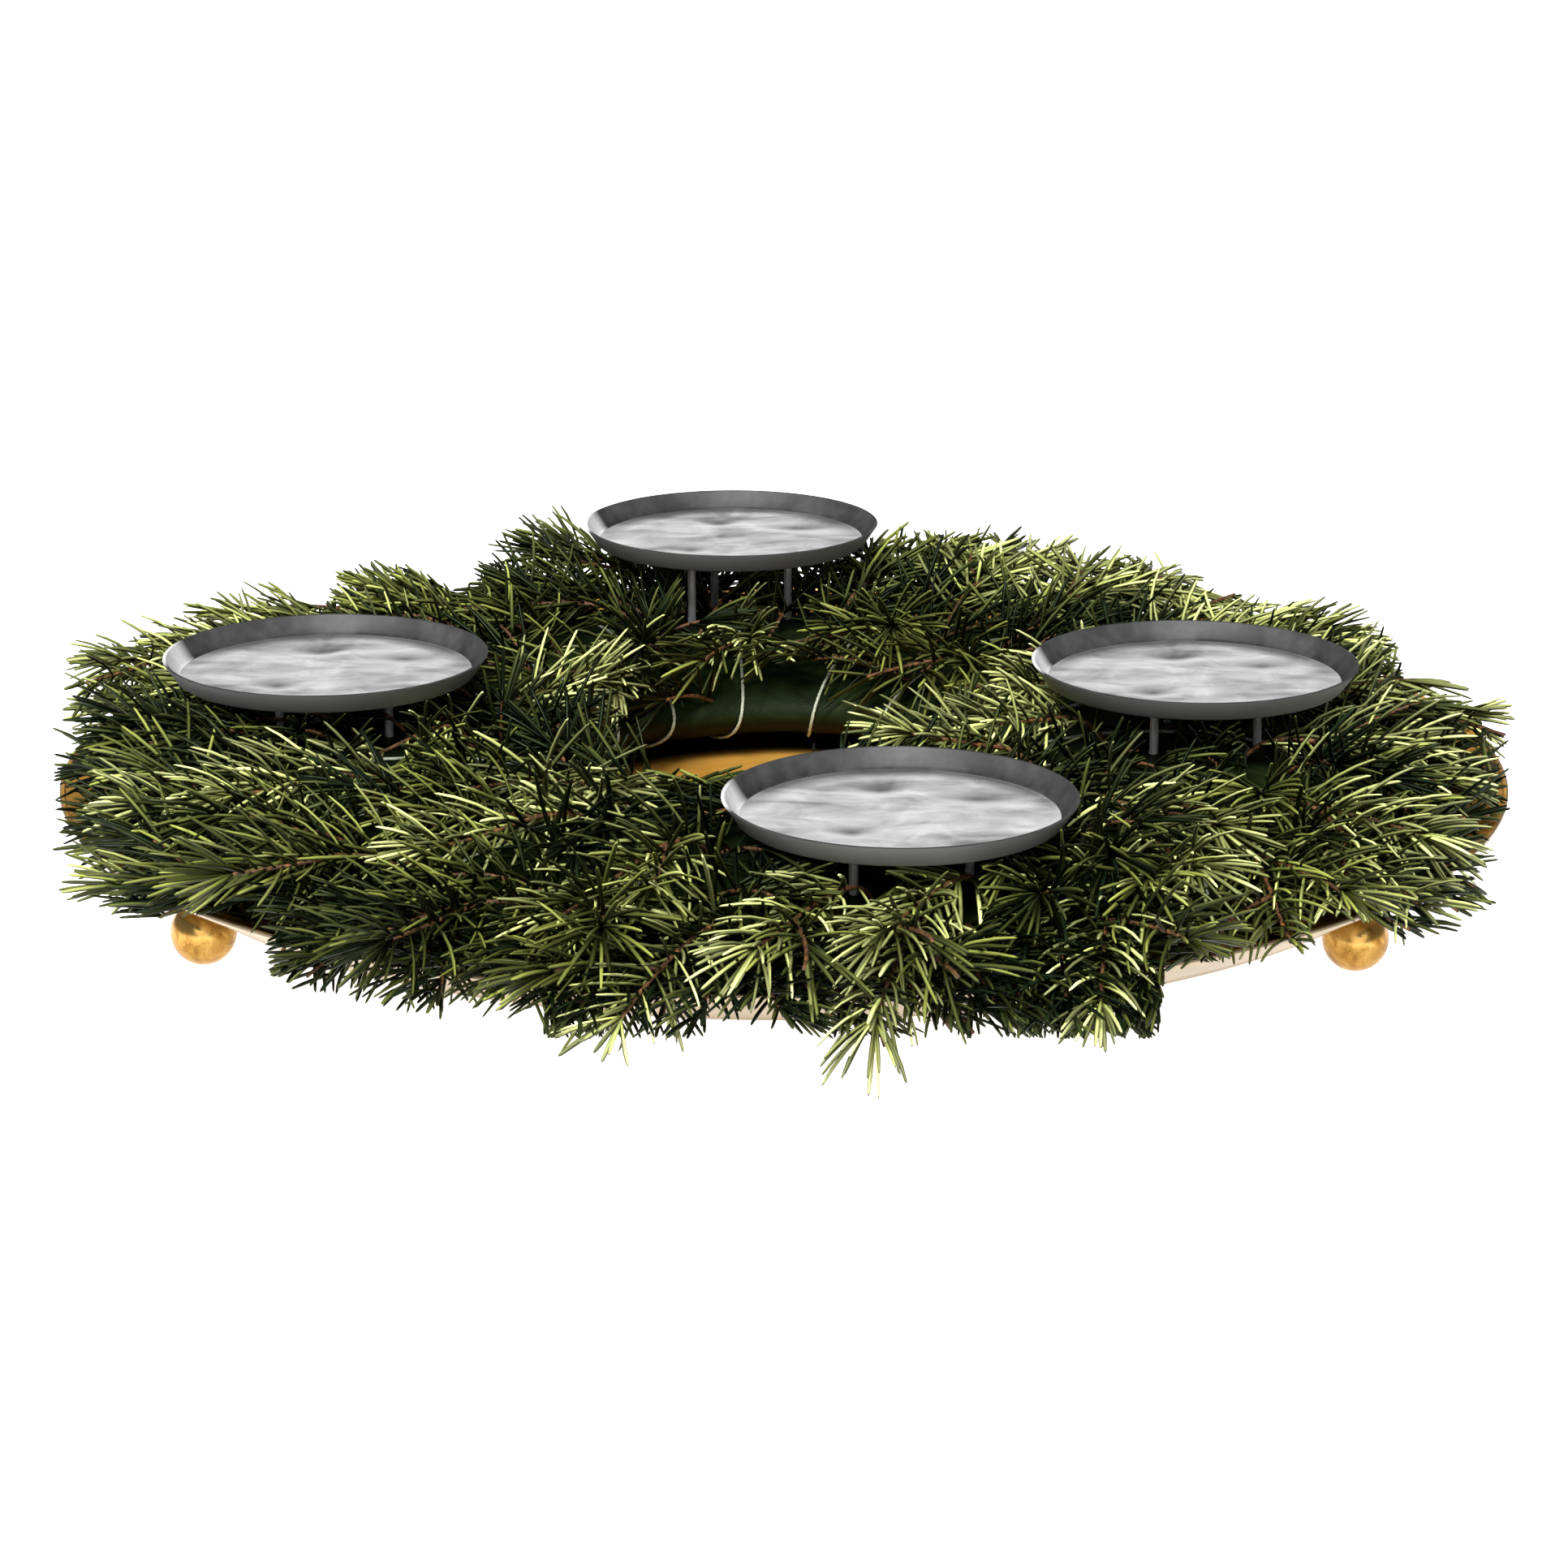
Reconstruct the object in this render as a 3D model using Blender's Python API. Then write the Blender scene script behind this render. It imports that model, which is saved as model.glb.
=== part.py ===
"""Advent wreath: fir sprigs on a wrapped ring, four pinned candle dishes and a round tray on ball feet.

Metres, +Z up. The origin is on the table under the middle of the whole piece, and -Y is the front.
"""

import math
import random

import bmesh
import bpy
import numpy as np
from mathutils import Vector

MM = 0.001
SEED = 24
GAP = 0.3 * MM  # between pieces that touch

# Tray: a turned pan of sheet metal on three balls
TRAY_CENTRE = (0, 11.5 * MM)
TRAY_RIM_RADIUS = 200 * MM
TRAY_FLOOR_RADIUS = 180 * MM
TRAY_SHEET = 1.2 * MM
TRAY_UNDERSIDE = 17.0 * MM
TRAY_RIM_HEIGHT = 31.0 * MM
TRAY_SEGMENTS = 43
FOOT_RADIUS = 8.7 * MM
FOOT_FLAT_RADIUS = 2.6 * MM
FOOT_CIRCLE = 174 * MM
FOOT_ANGLES = (89, 209, 329)
FOOT_SEGMENTS = 11
FOOT_RINGS = 4

# Wreath base: a ring with an elliptic section
WREATH_CENTRE = (0, -10.5 * MM)
RING_RADIUS = 108 * MM
RING_HALF_WIDTH = 48 * MM
RING_HALF_HEIGHT = 13 * MM
RING_SEGMENTS = 36
RING_SIDES = 8

# Binding thread: three-sided, with its flat side on the ring
THREAD_TURNS = 18
THREAD_RADIUS = 0.5 * MM
THREAD_SIDES = 3
THREAD_START = 12  # degrees, which takes it clear of the pins
THREAD_HEIGHT = 1.5 * THREAD_RADIUS
THREAD_GAP = 0.7 * MM  # to the ring's true section, which its inner facets stand out of
RING_CENTRE_HEIGHT = TRAY_UNDERSIDE + TRAY_SHEET + GAP + THREAD_HEIGHT + THREAD_GAP + RING_HALF_HEIGHT

# Candle dishes: name, centre and rim height
DISHES = (
    ("left", (-124.4 * MM, -13.3 * MM), 68.0 * MM),
    ("right", (110.9 * MM, -20.4 * MM), 68.0 * MM),
    ("back", (-15.9 * MM, 118.8 * MM), 74.0 * MM),
    ("front", (28.5 * MM, -134.2 * MM), 64.0 * MM),
)
DISH_RIM_RADIUS = 44 * MM
DISH_FLOOR_RADIUS = 38.5 * MM
DISH_DEPTH = 5.2 * MM
DISH_SHEET = 0.8 * MM
DISH_SEGMENTS = 23
PIN_RADIUS = 1.2 * MM
PIN_CIRCLE = 17.4 * MM
PIN_ANGLES = (-12, -132, -252)
PIN_SIDES = 6
PIN_POINT = 4 * MM
PIN_FOOT_HEIGHT = 27 * MM

# Fir sprigs: name, then the root's azimuth and place round the ring's section (0 outside, 90 on top,
# 180 inside) in degrees, then the tip's azimuth, distance from the wreath's centre and height, the slope
# of the tip's last stretch, and the number of side shoots.
SPRIGS = (
    ("left_1", 154, 85, 166, 194, 53, 0.1, 2),
    ("left_2", 170, 90, 175, 188, 45, 0.0, 2),
    ("left_3", 222, 75, 204, 180, 46, 0.0, 1),
    ("left_4", 236, 30, 214, 200, 37, -0.1, 1),
    ("left_5", 252, 25, 235, 194, 34, -0.3, 1),
    ("left_6", 247, 85, 234, 156, 53, 0.1, 0),
    ("left_7", 190, 118, 199, 120, 49, 0.1, 0),
    ("back_1", 141, 90, 149, 186, 54, 0.2, 2),
    ("back_2", 130, 100, 139, 156, 60, 0.4, 1),
    ("back_3", 114, 95, 132, 128, 58, 0.2, 1),
    ("back_4", 104, 60, 113, 170, 60, 0.3, 1),
    ("back_5", 90, 30, 103, 182, 56, 0.2, 1),
    ("back_6", 80, 90, 73, 162, 59, 0.3, 1),
    ("back_7", 64, 90, 62, 174, 58, 0.2, 1),
    ("back_8", 50, 90, 48, 174, 57, 0.2, 2),
    ("back_9", 36, 60, 34, 168, 53, 0.1, 1),
    ("right_1", 24, 85, 22, 178, 54, 0.1, 2),
    ("right_2", 8, 60, 3, 187, 47, 0.0, 1),
    ("right_3", 345, 70, 346, 183, 43, 0.0, 1),
    ("right_4", 331, 50, 321, 202, 36, -0.2, 2),
    ("right_5", 313, 85, 306, 170, 50, 0.2, 1),
    ("right_6", 316, 35, 309, 194, 35, -0.3, 1),
    ("front_1", 301, 30, 292, 198, 31, -0.6, 0),
    ("front_2", 283, 25, 276, 198, 31, -0.6, 0),
    ("front_3", 266, 25, 259, 198, 31, -0.6, 0),
    ("front_4", 276, 42, 268, 188, 46, -0.1, 0),
    ("front_5", 262, 75, 252, 172, 46, -0.1, 1),
    ("front_6", 292, 42, 283, 188, 42, 0.0, 0),
    ("inner_1", 100, 110, 98, 66, 54, 0.3, 0),
    ("inner_2", 124, 120, 142, 60, 50, 0.1, 1),
    ("inner_3", 22, 105, 6, 68, 56, 0.2, 1),
    ("inner_4", 52, 118, 44, 54, 52, 0.1, 1),
    ("inner_5", 324, 118, 312, 56, 56, 0.1, 1),
    ("inner_6", 70, 105, 73, 74, 56, 0.4, 1),
    ("inner_7", 178, 118, 172, 64, 50, 0.1, 1),
    ("inner_8", 226, 110, 239, 116, 54, 0.1, 1),
    ("inner_9", 356, 115, 348, 62, 52, 0.1, 1),
)
STEM_RADIUS = 2.2 * MM  # in its hole
STEM_RADII = (2.2 * MM, 3.0 * MM, 3.2 * MM, 2.8 * MM, 1.3 * MM)  # from the ring to the tip
STEM_SIDES = 4
STEM_STEPS = len(STEM_RADII) - 1
STEM_DEPTH = 9 * MM  # of the straight root in its hole
STEM_OUT = 5 * MM  # that the root runs straight on above the hole
SHOOT_RADII = (2.0 * MM, 2.7 * MM, 1.2 * MM)
SHOOT_SIDES = 4
SHOOT_LENGTH = 29 * MM
SHOOT_SHORTER = 3 * MM  # each next shoot of a stem
SHOOT_ANGLE = 42  # degrees from the stem
SHOOT_PLACES = (0.34, 0.54, 0.72)
STEM_LIFT = 1.5 * MM  # by which a sprig is raised to lie over another
STEM_SWING = 3  # degrees by which it is turned aside
STEM_CLEARANCE = 1.2 * MM
ROOT_CLEARANCE = 4.5  # degrees from a root to the thread
ROOT_HOLE_SIDES = 4
PIN_HOLE_SIDES = 6
HOLE_CLEARANCE = 0.35 * MM
HOLE_MOUTH = 12 * MM  # by which a hole's cutter stands out of the ring

# Needles
NEEDLE_LENGTH = 19 * MM
NEEDLE_RADIUS = 0.6 * MM
NEEDLE_SIDES = 3
NEEDLE_SPACING = 3.9 * MM  # along a shoot
NEEDLE_LEAN = 52  # degrees from the shoot, at its foot
NEEDLE_TIP_LEAN = 26  # and at its tip
NEEDLE_CROWN = 3
CROWN_DEPTH = 1.8 * MM  # of the crown needles' feet below the shoot's end
NEEDLE_TRIES = 14
NEEDLE_CLEARANCE = 0.35 * MM
STEM_BARE = 9 * MM  # of stem above the ring that has none
SHOOT_BARE = 5 * MM
NEEDLE_ROW_STEP = 3  # sides of the stem from one needle to the next
NEEDLE_TURN = 0.3  # radians that a needle may turn from its side's middle

# Where the sprigs may reach
HALF_WIDTH = 203.5 * MM
HALF_LENGTH = 211.5 * MM
SIDE_TAPER = 0.164  # by which the wreath narrows to the front, for each unit of length
LOWEST = 11 * MM
HIGHEST = 68 * MM
HOLE_OPEN_RADIUS = 49 * MM

COLOURS = {
    "gold": ((0.55, 0.33, 0.09), 0.34, 1.0),
    "brass": ((0.56, 0.34, 0.09), 0.26, 1.0),
    "green_film": ((0.020, 0.040, 0.012), 0.30, 0.0),
    "thread": ((0.28, 0.34, 0.24), 0.55, 0.0),
    "steel": ((0.50, 0.50, 0.51), 0.36, 1.0),
    "dark_steel": ((0.14, 0.14, 0.15), 0.45, 1.0),
    "fir": ((0.075, 0.130, 0.032), 0.50, 0.0),
}


def clear_scene():
    for obj in list(bpy.data.objects):
        bpy.data.objects.remove(obj, do_unlink=True)


def make_material(name):
    colour, roughness, metallic = COLOURS[name]
    material = bpy.data.materials.new(name)
    material.use_nodes = True
    shader = material.node_tree.nodes["Principled BSDF"]
    shader.inputs["Base Color"].default_value = (*colour, 1)
    shader.inputs["Roughness"].default_value = roughness
    shader.inputs["Metallic"].default_value = metallic
    material.diffuse_color = (*colour, 1)
    return material


def mesh_object(name, points, faces, material=None, collection=None):
    mesh = bpy.data.meshes.new(name)
    mesh.from_pydata([tuple(point) for point in points], [], faces)
    mesh.update()
    obj = bpy.data.objects.new(name, mesh)
    (collection or bpy.context.scene.collection).objects.link(obj)
    if material:
        mesh.materials.append(material)
    return obj


def smooth(obj, angle=40):
    obj.data.shade_smooth()
    obj.data.set_sharp_from_angle(angle=math.radians(angle))


def turned(name, profile, segments, material, centre=(0, 0)):
    """A solid turned from (radius, height) points that run from its underside up its outer side and in."""
    points = []
    for radius, height in profile:
        for i in range(segments):
            angle = 2 * math.pi * i / segments
            points.append((radius * math.cos(angle), radius * math.sin(angle), height))
    faces = [tuple(reversed(range(segments)))]
    for row in range(len(profile) - 1):
        for i in range(segments):
            j = (i + 1) % segments
            low, high = row * segments, (row + 1) * segments
            faces.append((low + i, low + j, high + j, high + i))
    faces.append(tuple(range((len(profile) - 1) * segments, len(profile) * segments)))
    obj = mesh_object(name, points, faces, material)
    obj.location = (*centre, 0)
    smooth(obj)
    return obj


def side_vectors(direction):
    """Two unit vectors at right angles to a direction, the first of them level."""
    level = direction.cross(Vector((0, 0, 1)))
    if level.length < 0.01:
        level = Vector((1, 0, 0))
    level.normalize()
    return level, level.cross(direction).normalized()


def tube_mesh(path, radii, sides, pointed=False):
    """Points and faces of a closed tube along a path; pointed gives it a sharp tip."""
    points, faces = [], []
    last = len(path) - 1
    for k, (centre, radius) in enumerate(zip(path, radii)):
        if pointed and k == last:
            points.append(centre)
            break
        ahead = path[min(k + 1, last)] - path[max(k - 1, 0)]
        across, up = side_vectors(ahead.normalized())
        for i in range(sides):
            angle = 2 * math.pi * i / sides
            points.append(centre + radius * (math.cos(angle) * across + math.sin(angle) * up))
    rings = last if pointed else last + 1
    for k in range(rings - 1):
        for i in range(sides):
            j = (i + 1) % sides
            faces.append((k * sides + i, k * sides + j, (k + 1) * sides + j, (k + 1) * sides + i))
    top = (rings - 1) * sides
    if pointed:
        faces += [(top + i, top + (i + 1) % sides, top + sides) for i in range(sides)]
    else:
        faces.append(tuple(range(top, top + sides)))
    faces.append(tuple(reversed(range(sides))))
    return points, faces


def outward(obj):
    """Turn a closed mesh's faces to the outside."""
    work = bmesh.new()
    work.from_mesh(obj.data)
    bmesh.ops.recalc_face_normals(work, faces=work.faces[:])
    work.to_mesh(obj.data)
    work.free()
    return obj


def combine(obj, pieces, operation, solver):
    """Join a collection's pieces to an object, or cut them from it, and remove them."""
    collection = pieces[0].users_collection[0]
    modifier = obj.modifiers.new("combine", "BOOLEAN")
    modifier.operation = operation
    modifier.operand_type = "COLLECTION"
    modifier.collection = collection
    modifier.solver = solver
    bpy.context.view_layer.update()
    graph = bpy.context.evaluated_depsgraph_get()
    made = bpy.data.meshes.new_from_object(obj.evaluated_get(graph))
    obj.modifiers.clear()
    obj.data = made
    for piece in pieces:
        bpy.data.objects.remove(piece, do_unlink=True)
    bpy.data.collections.remove(collection)


def keep_largest(obj):
    """Keep a mesh's largest connected surface, so that a sealed hollow is filled and a scrap dropped."""
    work = bmesh.new()
    work.from_mesh(obj.data)
    left, surfaces = set(work.faces), []
    while left:
        found, rim = set(), {left.pop()}
        while rim:
            found |= rim
            rim = {other for face in rim for edge in face.edges for other in edge.link_faces} - found
        left -= found
        surfaces.append(found)
    surfaces.sort(key=len)
    spare = [face for surface in surfaces[:-1] for face in surface]
    bmesh.ops.delete(work, geom=spare, context="FACES")
    work.to_mesh(obj.data)
    work.free()


def helper_collection(name):
    collection = bpy.data.collections.new(name)
    bpy.context.scene.collection.children.link(collection)
    return collection


def around_wreath(azimuth, radius, height):
    """A point from its azimuth in degrees and its distance from the wreath's axis."""
    angle = math.radians(azimuth)
    return Vector(
        (
            WREATH_CENTRE[0] + radius * math.cos(angle),
            WREATH_CENTRE[1] + radius * math.sin(angle),
            height,
        )
    )


def on_ring(azimuth, place, out=0.0):
    """A point on the ring's surface, or at a distance out from it, and the normal there."""
    turn = math.radians(place)
    slope = Vector((math.cos(turn) / RING_HALF_WIDTH, math.sin(turn) / RING_HALF_HEIGHT))
    slope.normalize()
    point = around_wreath(
        azimuth,
        RING_RADIUS + RING_HALF_WIDTH * math.cos(turn) + out * slope.x,
        RING_CENTRE_HEIGHT + RING_HALF_HEIGHT * math.sin(turn) + out * slope.y,
    )
    angle = math.radians(azimuth)
    normal = Vector((slope.x * math.cos(angle), slope.x * math.sin(angle), slope.y))
    return point, normal


def distances(start, end, starts, ends):
    """The distance from one segment to each of many."""
    d1, d2 = end - start, ends - starts
    r = start - starts
    a, e = d1 @ d1, (d2 * d2).sum(1)
    b, c, f = d2 @ d1, r @ d1, (d2 * r).sum(1)
    spread = a * e - b * b
    s = np.clip(np.divide(b * f - c * e, spread, out=np.zeros_like(e), where=spread > 1e-18), 0, 1)
    t = np.clip((b * s + f) / e, 0, 1)
    s = np.clip((b * t - c) / a, 0, 1)
    return np.linalg.norm(start + s[:, None] * d1 - starts - t[:, None] * d2, axis=1)


class Neighbours:
    """Straight round pieces that later ones keep clear of."""

    def __init__(self):
        self.starts, self.ends, self.radii = [], [], []
        self.arrays = None

    def add(self, path, radii):
        for k in range(len(path) - 1):
            self.starts.append(tuple(path[k]))
            self.ends.append(tuple(path[k + 1]))
            self.radii.append(max(radii[k], radii[k + 1]))
        self.arrays = None

    def room(self, path, radii):
        """The smallest gap between a path and all the pieces."""
        if not self.starts:
            return 1.0
        if self.arrays is None:
            self.arrays = tuple(np.array(part, float) for part in (self.starts, self.ends, self.radii))
        starts, ends, sizes = self.arrays
        least = 1.0
        for k in range(len(path) - 1):
            apart = distances(np.array(path[k]), np.array(path[k + 1]), starts, ends)
            least = min(least, (apart - sizes).min() - max(radii[k], radii[k + 1]))
        return least


def clear_of_body(point, margin):
    """Whether a point keeps off the table, tray, feet, ring and dishes, and out of their openings."""
    x, y, z = point
    if not LOWEST < z < HIGHEST or abs(y) > HALF_LENGTH:
        return False
    if abs(x) > HALF_WIDTH + SIDE_TAPER * min(y, 0):
        return False
    from_axis = math.hypot(x - WREATH_CENTRE[0], y - WREATH_CENTRE[1])
    if from_axis < HOLE_OPEN_RADIUS:
        return False
    wide, high = RING_HALF_WIDTH + margin, RING_HALF_HEIGHT + margin
    if ((from_axis - RING_RADIUS) / wide) ** 2 + ((z - RING_CENTRE_HEIGHT) / high) ** 2 < 1:
        return False
    on_tray = math.hypot(x - TRAY_CENTRE[0], y - TRAY_CENTRE[1])
    if on_tray < TRAY_FLOOR_RADIUS + margin and z < TRAY_UNDERSIDE + TRAY_SHEET + margin:
        return False
    foot, rim = (TRAY_FLOOR_RADIUS, TRAY_UNDERSIDE), (TRAY_RIM_RADIUS, TRAY_RIM_HEIGHT)
    along_r, along_z = rim[0] - foot[0], rim[1] - foot[1]
    part = ((on_tray - foot[0]) * along_r + (z - foot[1]) * along_z) / (along_r**2 + along_z**2)
    part = min(max(part, 0), 1)
    from_wall = math.hypot(on_tray - foot[0] - part * along_r, z - foot[1] - part * along_z)
    if from_wall < TRAY_SHEET + margin:
        return False
    for angle in FOOT_ANGLES:
        fx = TRAY_CENTRE[0] + FOOT_CIRCLE * math.cos(math.radians(angle))
        fy = TRAY_CENTRE[1] + FOOT_CIRCLE * math.sin(math.radians(angle))
        if math.dist(point, (fx, fy, FOOT_RADIUS)) < FOOT_RADIUS + margin:
            return False
    for _, (dx, dy), rim_height in DISHES:
        if z > rim_height - DISH_DEPTH - DISH_SHEET - margin:
            if math.hypot(x - dx, y - dy) < DISH_RIM_RADIUS + margin:
                return False
    return True


def path_clear(path, radius, start=0, step=2.0 * MM):
    """Whether a path keeps off the rigid pieces from its point number start on."""
    for k in range(start, len(path) - 1):
        stretch = path[k + 1] - path[k]
        count = max(2, math.ceil(stretch.length / step))
        for i in range(count + 1):
            if not clear_of_body(path[k] + stretch * i / count, radius + NEEDLE_CLEARANCE):
                return False
    return True


def bezier(a, b, c, d, t):
    u = 1 - t
    return a * u**3 + b * (3 * u * u * t) + c * (3 * u * t * t) + d * t**3


def between_turns(azimuth, place):
    """The azimuth nearest to a given one where a root stands clear of the thread's turns."""
    pitch = 360 / THREAD_TURNS
    past = (azimuth - THREAD_START - pitch * place / 360) % pitch
    return azimuth - past + min(max(past, ROOT_CLEARANCE), pitch - ROOT_CLEARANCE)


def stem_path(row, lift, swing):
    """A sprig's stem: straight in its hole, then a smooth bend to its tip."""
    _, root_azimuth, place, tip_azimuth, tip_radius, tip_height, slope, _ = row
    surface, normal = on_ring(between_turns(root_azimuth, place), place)
    tip = around_wreath(tip_azimuth + swing, tip_radius * MM, tip_height * MM + lift)
    reach = (tip - surface).normalized()
    root_direction = (normal + 0.9 * reach).normalized()
    leave = surface + root_direction * STEM_OUT
    level = Vector((tip.x - leave.x, tip.y - leave.y, 0)).normalized()
    tip_direction = (level + Vector((0, 0, slope))).normalized()
    pull = (tip - leave).length / 3
    first, second = leave + root_direction * pull, tip - tip_direction * pull
    bend = [bezier(leave, first, second, tip, k / STEM_STEPS) for k in range(STEM_STEPS + 1)]
    return [surface - root_direction * STEM_DEPTH] + bend


def shoot_path(stem, number, side, angle):
    """A side shoot that leaves the stem at an angle and bends a little forward."""
    bend = stem[1:]
    position = SHOOT_PLACES[number] * (len(bend) - 1)
    k = min(int(position), len(bend) - 2)
    foot = bend[k].lerp(bend[k + 1], position - k)
    ahead = (bend[k + 1] - bend[k]).normalized()
    across, up = side_vectors(ahead)
    half = (SHOOT_LENGTH - number * SHOOT_SHORTER) / 2
    turn = math.radians(angle)
    direction = ahead * math.cos(turn) + (across * side + up * 0.12) * math.sin(turn)
    tip_direction = ahead * math.cos(0.6 * turn) + across * side * math.sin(0.6 * turn)
    middle = foot + direction.normalized() * half
    return [foot, middle, middle + tip_direction.normalized() * half]


def lay_sprigs(neighbours):
    """Each sprig's stem and side shoots, each laid over or beside those that lie there already."""
    sprigs = []
    radii = (STEM_RADIUS, *STEM_RADII)
    for row in SPRIGS:
        name, count = row[0], row[-1]
        for step in range(60):
            swing = (0, 1, -1, 2, -2)[step % 5] * STEM_SWING
            stem = stem_path(row, STEM_LIFT * (step // 5), swing)
            if not path_clear(stem, max(STEM_RADII), start=2):
                continue
            if neighbours.room(stem, radii) > STEM_CLEARANCE:
                break
        else:
            raise ValueError(f"sprig {name} finds no room")
        paths = [(stem, radii)]
        for number in range(count):
            for angle in (SHOOT_ANGLE, SHOOT_ANGLE + 12, SHOOT_ANGLE - 12):
                side = 1 if number % 2 else -1
                shoot = shoot_path(stem, number, side, angle)
                if not path_clear(shoot, max(SHOOT_RADII)):
                    continue
                if neighbours.room(shoot, SHOOT_RADII) > STEM_CLEARANCE:
                    paths.append((shoot, SHOOT_RADII))
                    break
        for path, sizes in paths:
            neighbours.add(path, sizes)
        sprigs.append((name, paths))
    return sprigs


def needle_line(path, place, turn, lean, length):
    """A needle's foot on the middle of its shoot and its tip."""
    position = place * (len(path) - 1)
    k = min(int(position), len(path) - 2)
    foot = path[k].lerp(path[k + 1], position - k)
    ahead = (path[k + 1] - path[k]).normalized()
    across, up = side_vectors(ahead)
    angle = math.radians(lean)
    around = across * math.cos(turn) + up * math.sin(turn)
    return foot, foot + (ahead * math.cos(angle) + around * math.sin(angle)) * length


def length_of(path):
    return sum((path[k + 1] - path[k]).length for k in range(len(path) - 1))


def needles_on(path, bare, sides, rng, own, limbs, others):
    """A shoot's needles, spread evenly round it up to a crown at its tip, where there is room for them."""
    total = length_of(path)
    count = int((total - bare) / NEEDLE_SPACING)
    wanted = [(bare + (total - bare) * (k + 0.5) / count) / total for k in range(count)]
    wanted += [1 - CROWN_DEPTH / total] * NEEDLE_CROWN
    made = []
    for k, place in enumerate(wanted):
        lean = NEEDLE_LEAN + (NEEDLE_TIP_LEAN - NEEDLE_LEAN) * place**2
        for attempt in range(NEEDLE_TRIES):
            spread = attempt / NEEDLE_TRIES
            row = k * NEEDLE_ROW_STEP + (attempt // 4 if k < count else attempt)
            turn = math.pi * (2 * row + 1) / sides + rng.uniform(-1, 1) * NEEDLE_TURN
            length = NEEDLE_LENGTH * rng.uniform(0.88, 1.06) * (1 - 0.25 * spread)
            foot, tip = needle_line(path, place, turn, lean + rng.uniform(-7, 7), length)
            start = foot + (tip - foot) * 0.35
            line, sizes = [start, tip], [NEEDLE_RADIUS * 0.65, 0]
            if not path_clear([foot + (tip - foot) * 0.1, tip], NEEDLE_RADIUS):
                continue
            if own.room(line, sizes) < NEEDLE_CLEARANCE:
                continue
            if limbs.room(line, sizes) < NEEDLE_CLEARANCE:
                continue
            if others.room([foot, tip], [NEEDLE_RADIUS, 0]) < NEEDLE_CLEARANCE:
                continue
            own.add(line, sizes)
            made.append((foot, tip))
            break
    return made


def sprig_object(name, paths, needles, material):
    """One sprig: its stem, with the side shoots and needles joined to it."""
    points, faces = tube_mesh(paths[0][0], paths[0][1], STEM_SIDES)
    obj = outward(mesh_object("sprig_" + name, points, faces, material))
    collection = helper_collection("joined")
    pieces = []
    for path, radii in paths[1:]:
        points, faces = tube_mesh(path, radii, SHOOT_SIDES)
        pieces.append(outward(mesh_object("shoot", points, faces, material, collection)))
    for foot, tip in needles:
        points, faces = tube_mesh([foot, tip], [NEEDLE_RADIUS, 0], NEEDLE_SIDES, pointed=True)
        pieces.append(outward(mesh_object("needle", points, faces, material, collection)))
    combine(obj, pieces, "UNION", "MANIFOLD")
    keep_largest(obj)
    smooth(obj, 30)
    return obj


def make_tray(material):
    floor = TRAY_UNDERSIDE + TRAY_SHEET
    flare = math.atan2(TRAY_RIM_HEIGHT - TRAY_UNDERSIDE, TRAY_RIM_RADIUS - TRAY_FLOOR_RADIUS)
    inward = TRAY_SHEET / math.sin(flare)
    profile = (
        (TRAY_FLOOR_RADIUS - 2.5 * MM, TRAY_UNDERSIDE),
        (TRAY_FLOOR_RADIUS, TRAY_UNDERSIDE + 1.4 * MM),
        (TRAY_RIM_RADIUS, TRAY_RIM_HEIGHT - 0.4 * MM),
        (TRAY_RIM_RADIUS - 0.6 * inward, TRAY_RIM_HEIGHT),
        (TRAY_RIM_RADIUS - inward, TRAY_RIM_HEIGHT - 0.3 * MM),
        (TRAY_FLOOR_RADIUS - inward + 0.4 * MM, floor + 1.0 * MM),
        (TRAY_FLOOR_RADIUS - 3.2 * MM, floor),
    )
    return turned("tray", profile, TRAY_SEGMENTS, material, TRAY_CENTRE)


def make_feet(material):
    """Balls with a small flat above and below."""
    top = math.asin(math.sqrt(1 - (FOOT_FLAT_RADIUS / FOOT_RADIUS) ** 2))
    middle = FOOT_RADIUS * math.sin(top)
    profile = []
    for k in range(FOOT_RINGS + 1):
        angle = -top + 2 * top * k / FOOT_RINGS
        profile.append((FOOT_RADIUS * math.cos(angle), middle + FOOT_RADIUS * math.sin(angle)))
    for number, azimuth in enumerate(FOOT_ANGLES, 1):
        angle = math.radians(azimuth)
        place = (
            TRAY_CENTRE[0] + FOOT_CIRCLE * math.cos(angle),
            TRAY_CENTRE[1] + FOOT_CIRCLE * math.sin(angle),
        )
        turned(f"foot_{number}", profile, FOOT_SEGMENTS, material, place)


def make_ring(material, holes):
    """The wreath base, with a plain hole for each stem and pin."""
    points, faces = [], []
    for i in range(RING_SEGMENTS):
        for k in range(RING_SIDES):
            point, _ = on_ring(360 * i / RING_SEGMENTS, 360 * k / RING_SIDES)
            points.append(point)
    for i in range(RING_SEGMENTS):
        for k in range(RING_SIDES):
            a, b = i * RING_SIDES, ((i + 1) % RING_SEGMENTS) * RING_SIDES
            m = (k + 1) % RING_SIDES
            faces.append((a + k, b + k, b + m, a + m))
    ring = outward(mesh_object("wreath_base", points, faces, material))
    collection = helper_collection("holes")
    cutters = []
    for radius, foot, mouth, sides in holes:
        direction = (mouth - foot).normalized()
        wide = radius + HOLE_CLEARANCE / math.cos(math.pi / sides)
        path = [foot - direction * HOLE_CLEARANCE, mouth]
        points, faces = tube_mesh(path, [wide, wide], sides)
        cutters.append(outward(mesh_object("hole", points, faces, None, collection)))
    combine(ring, cutters, "DIFFERENCE", "EXACT")
    smooth(ring)
    return ring


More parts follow.
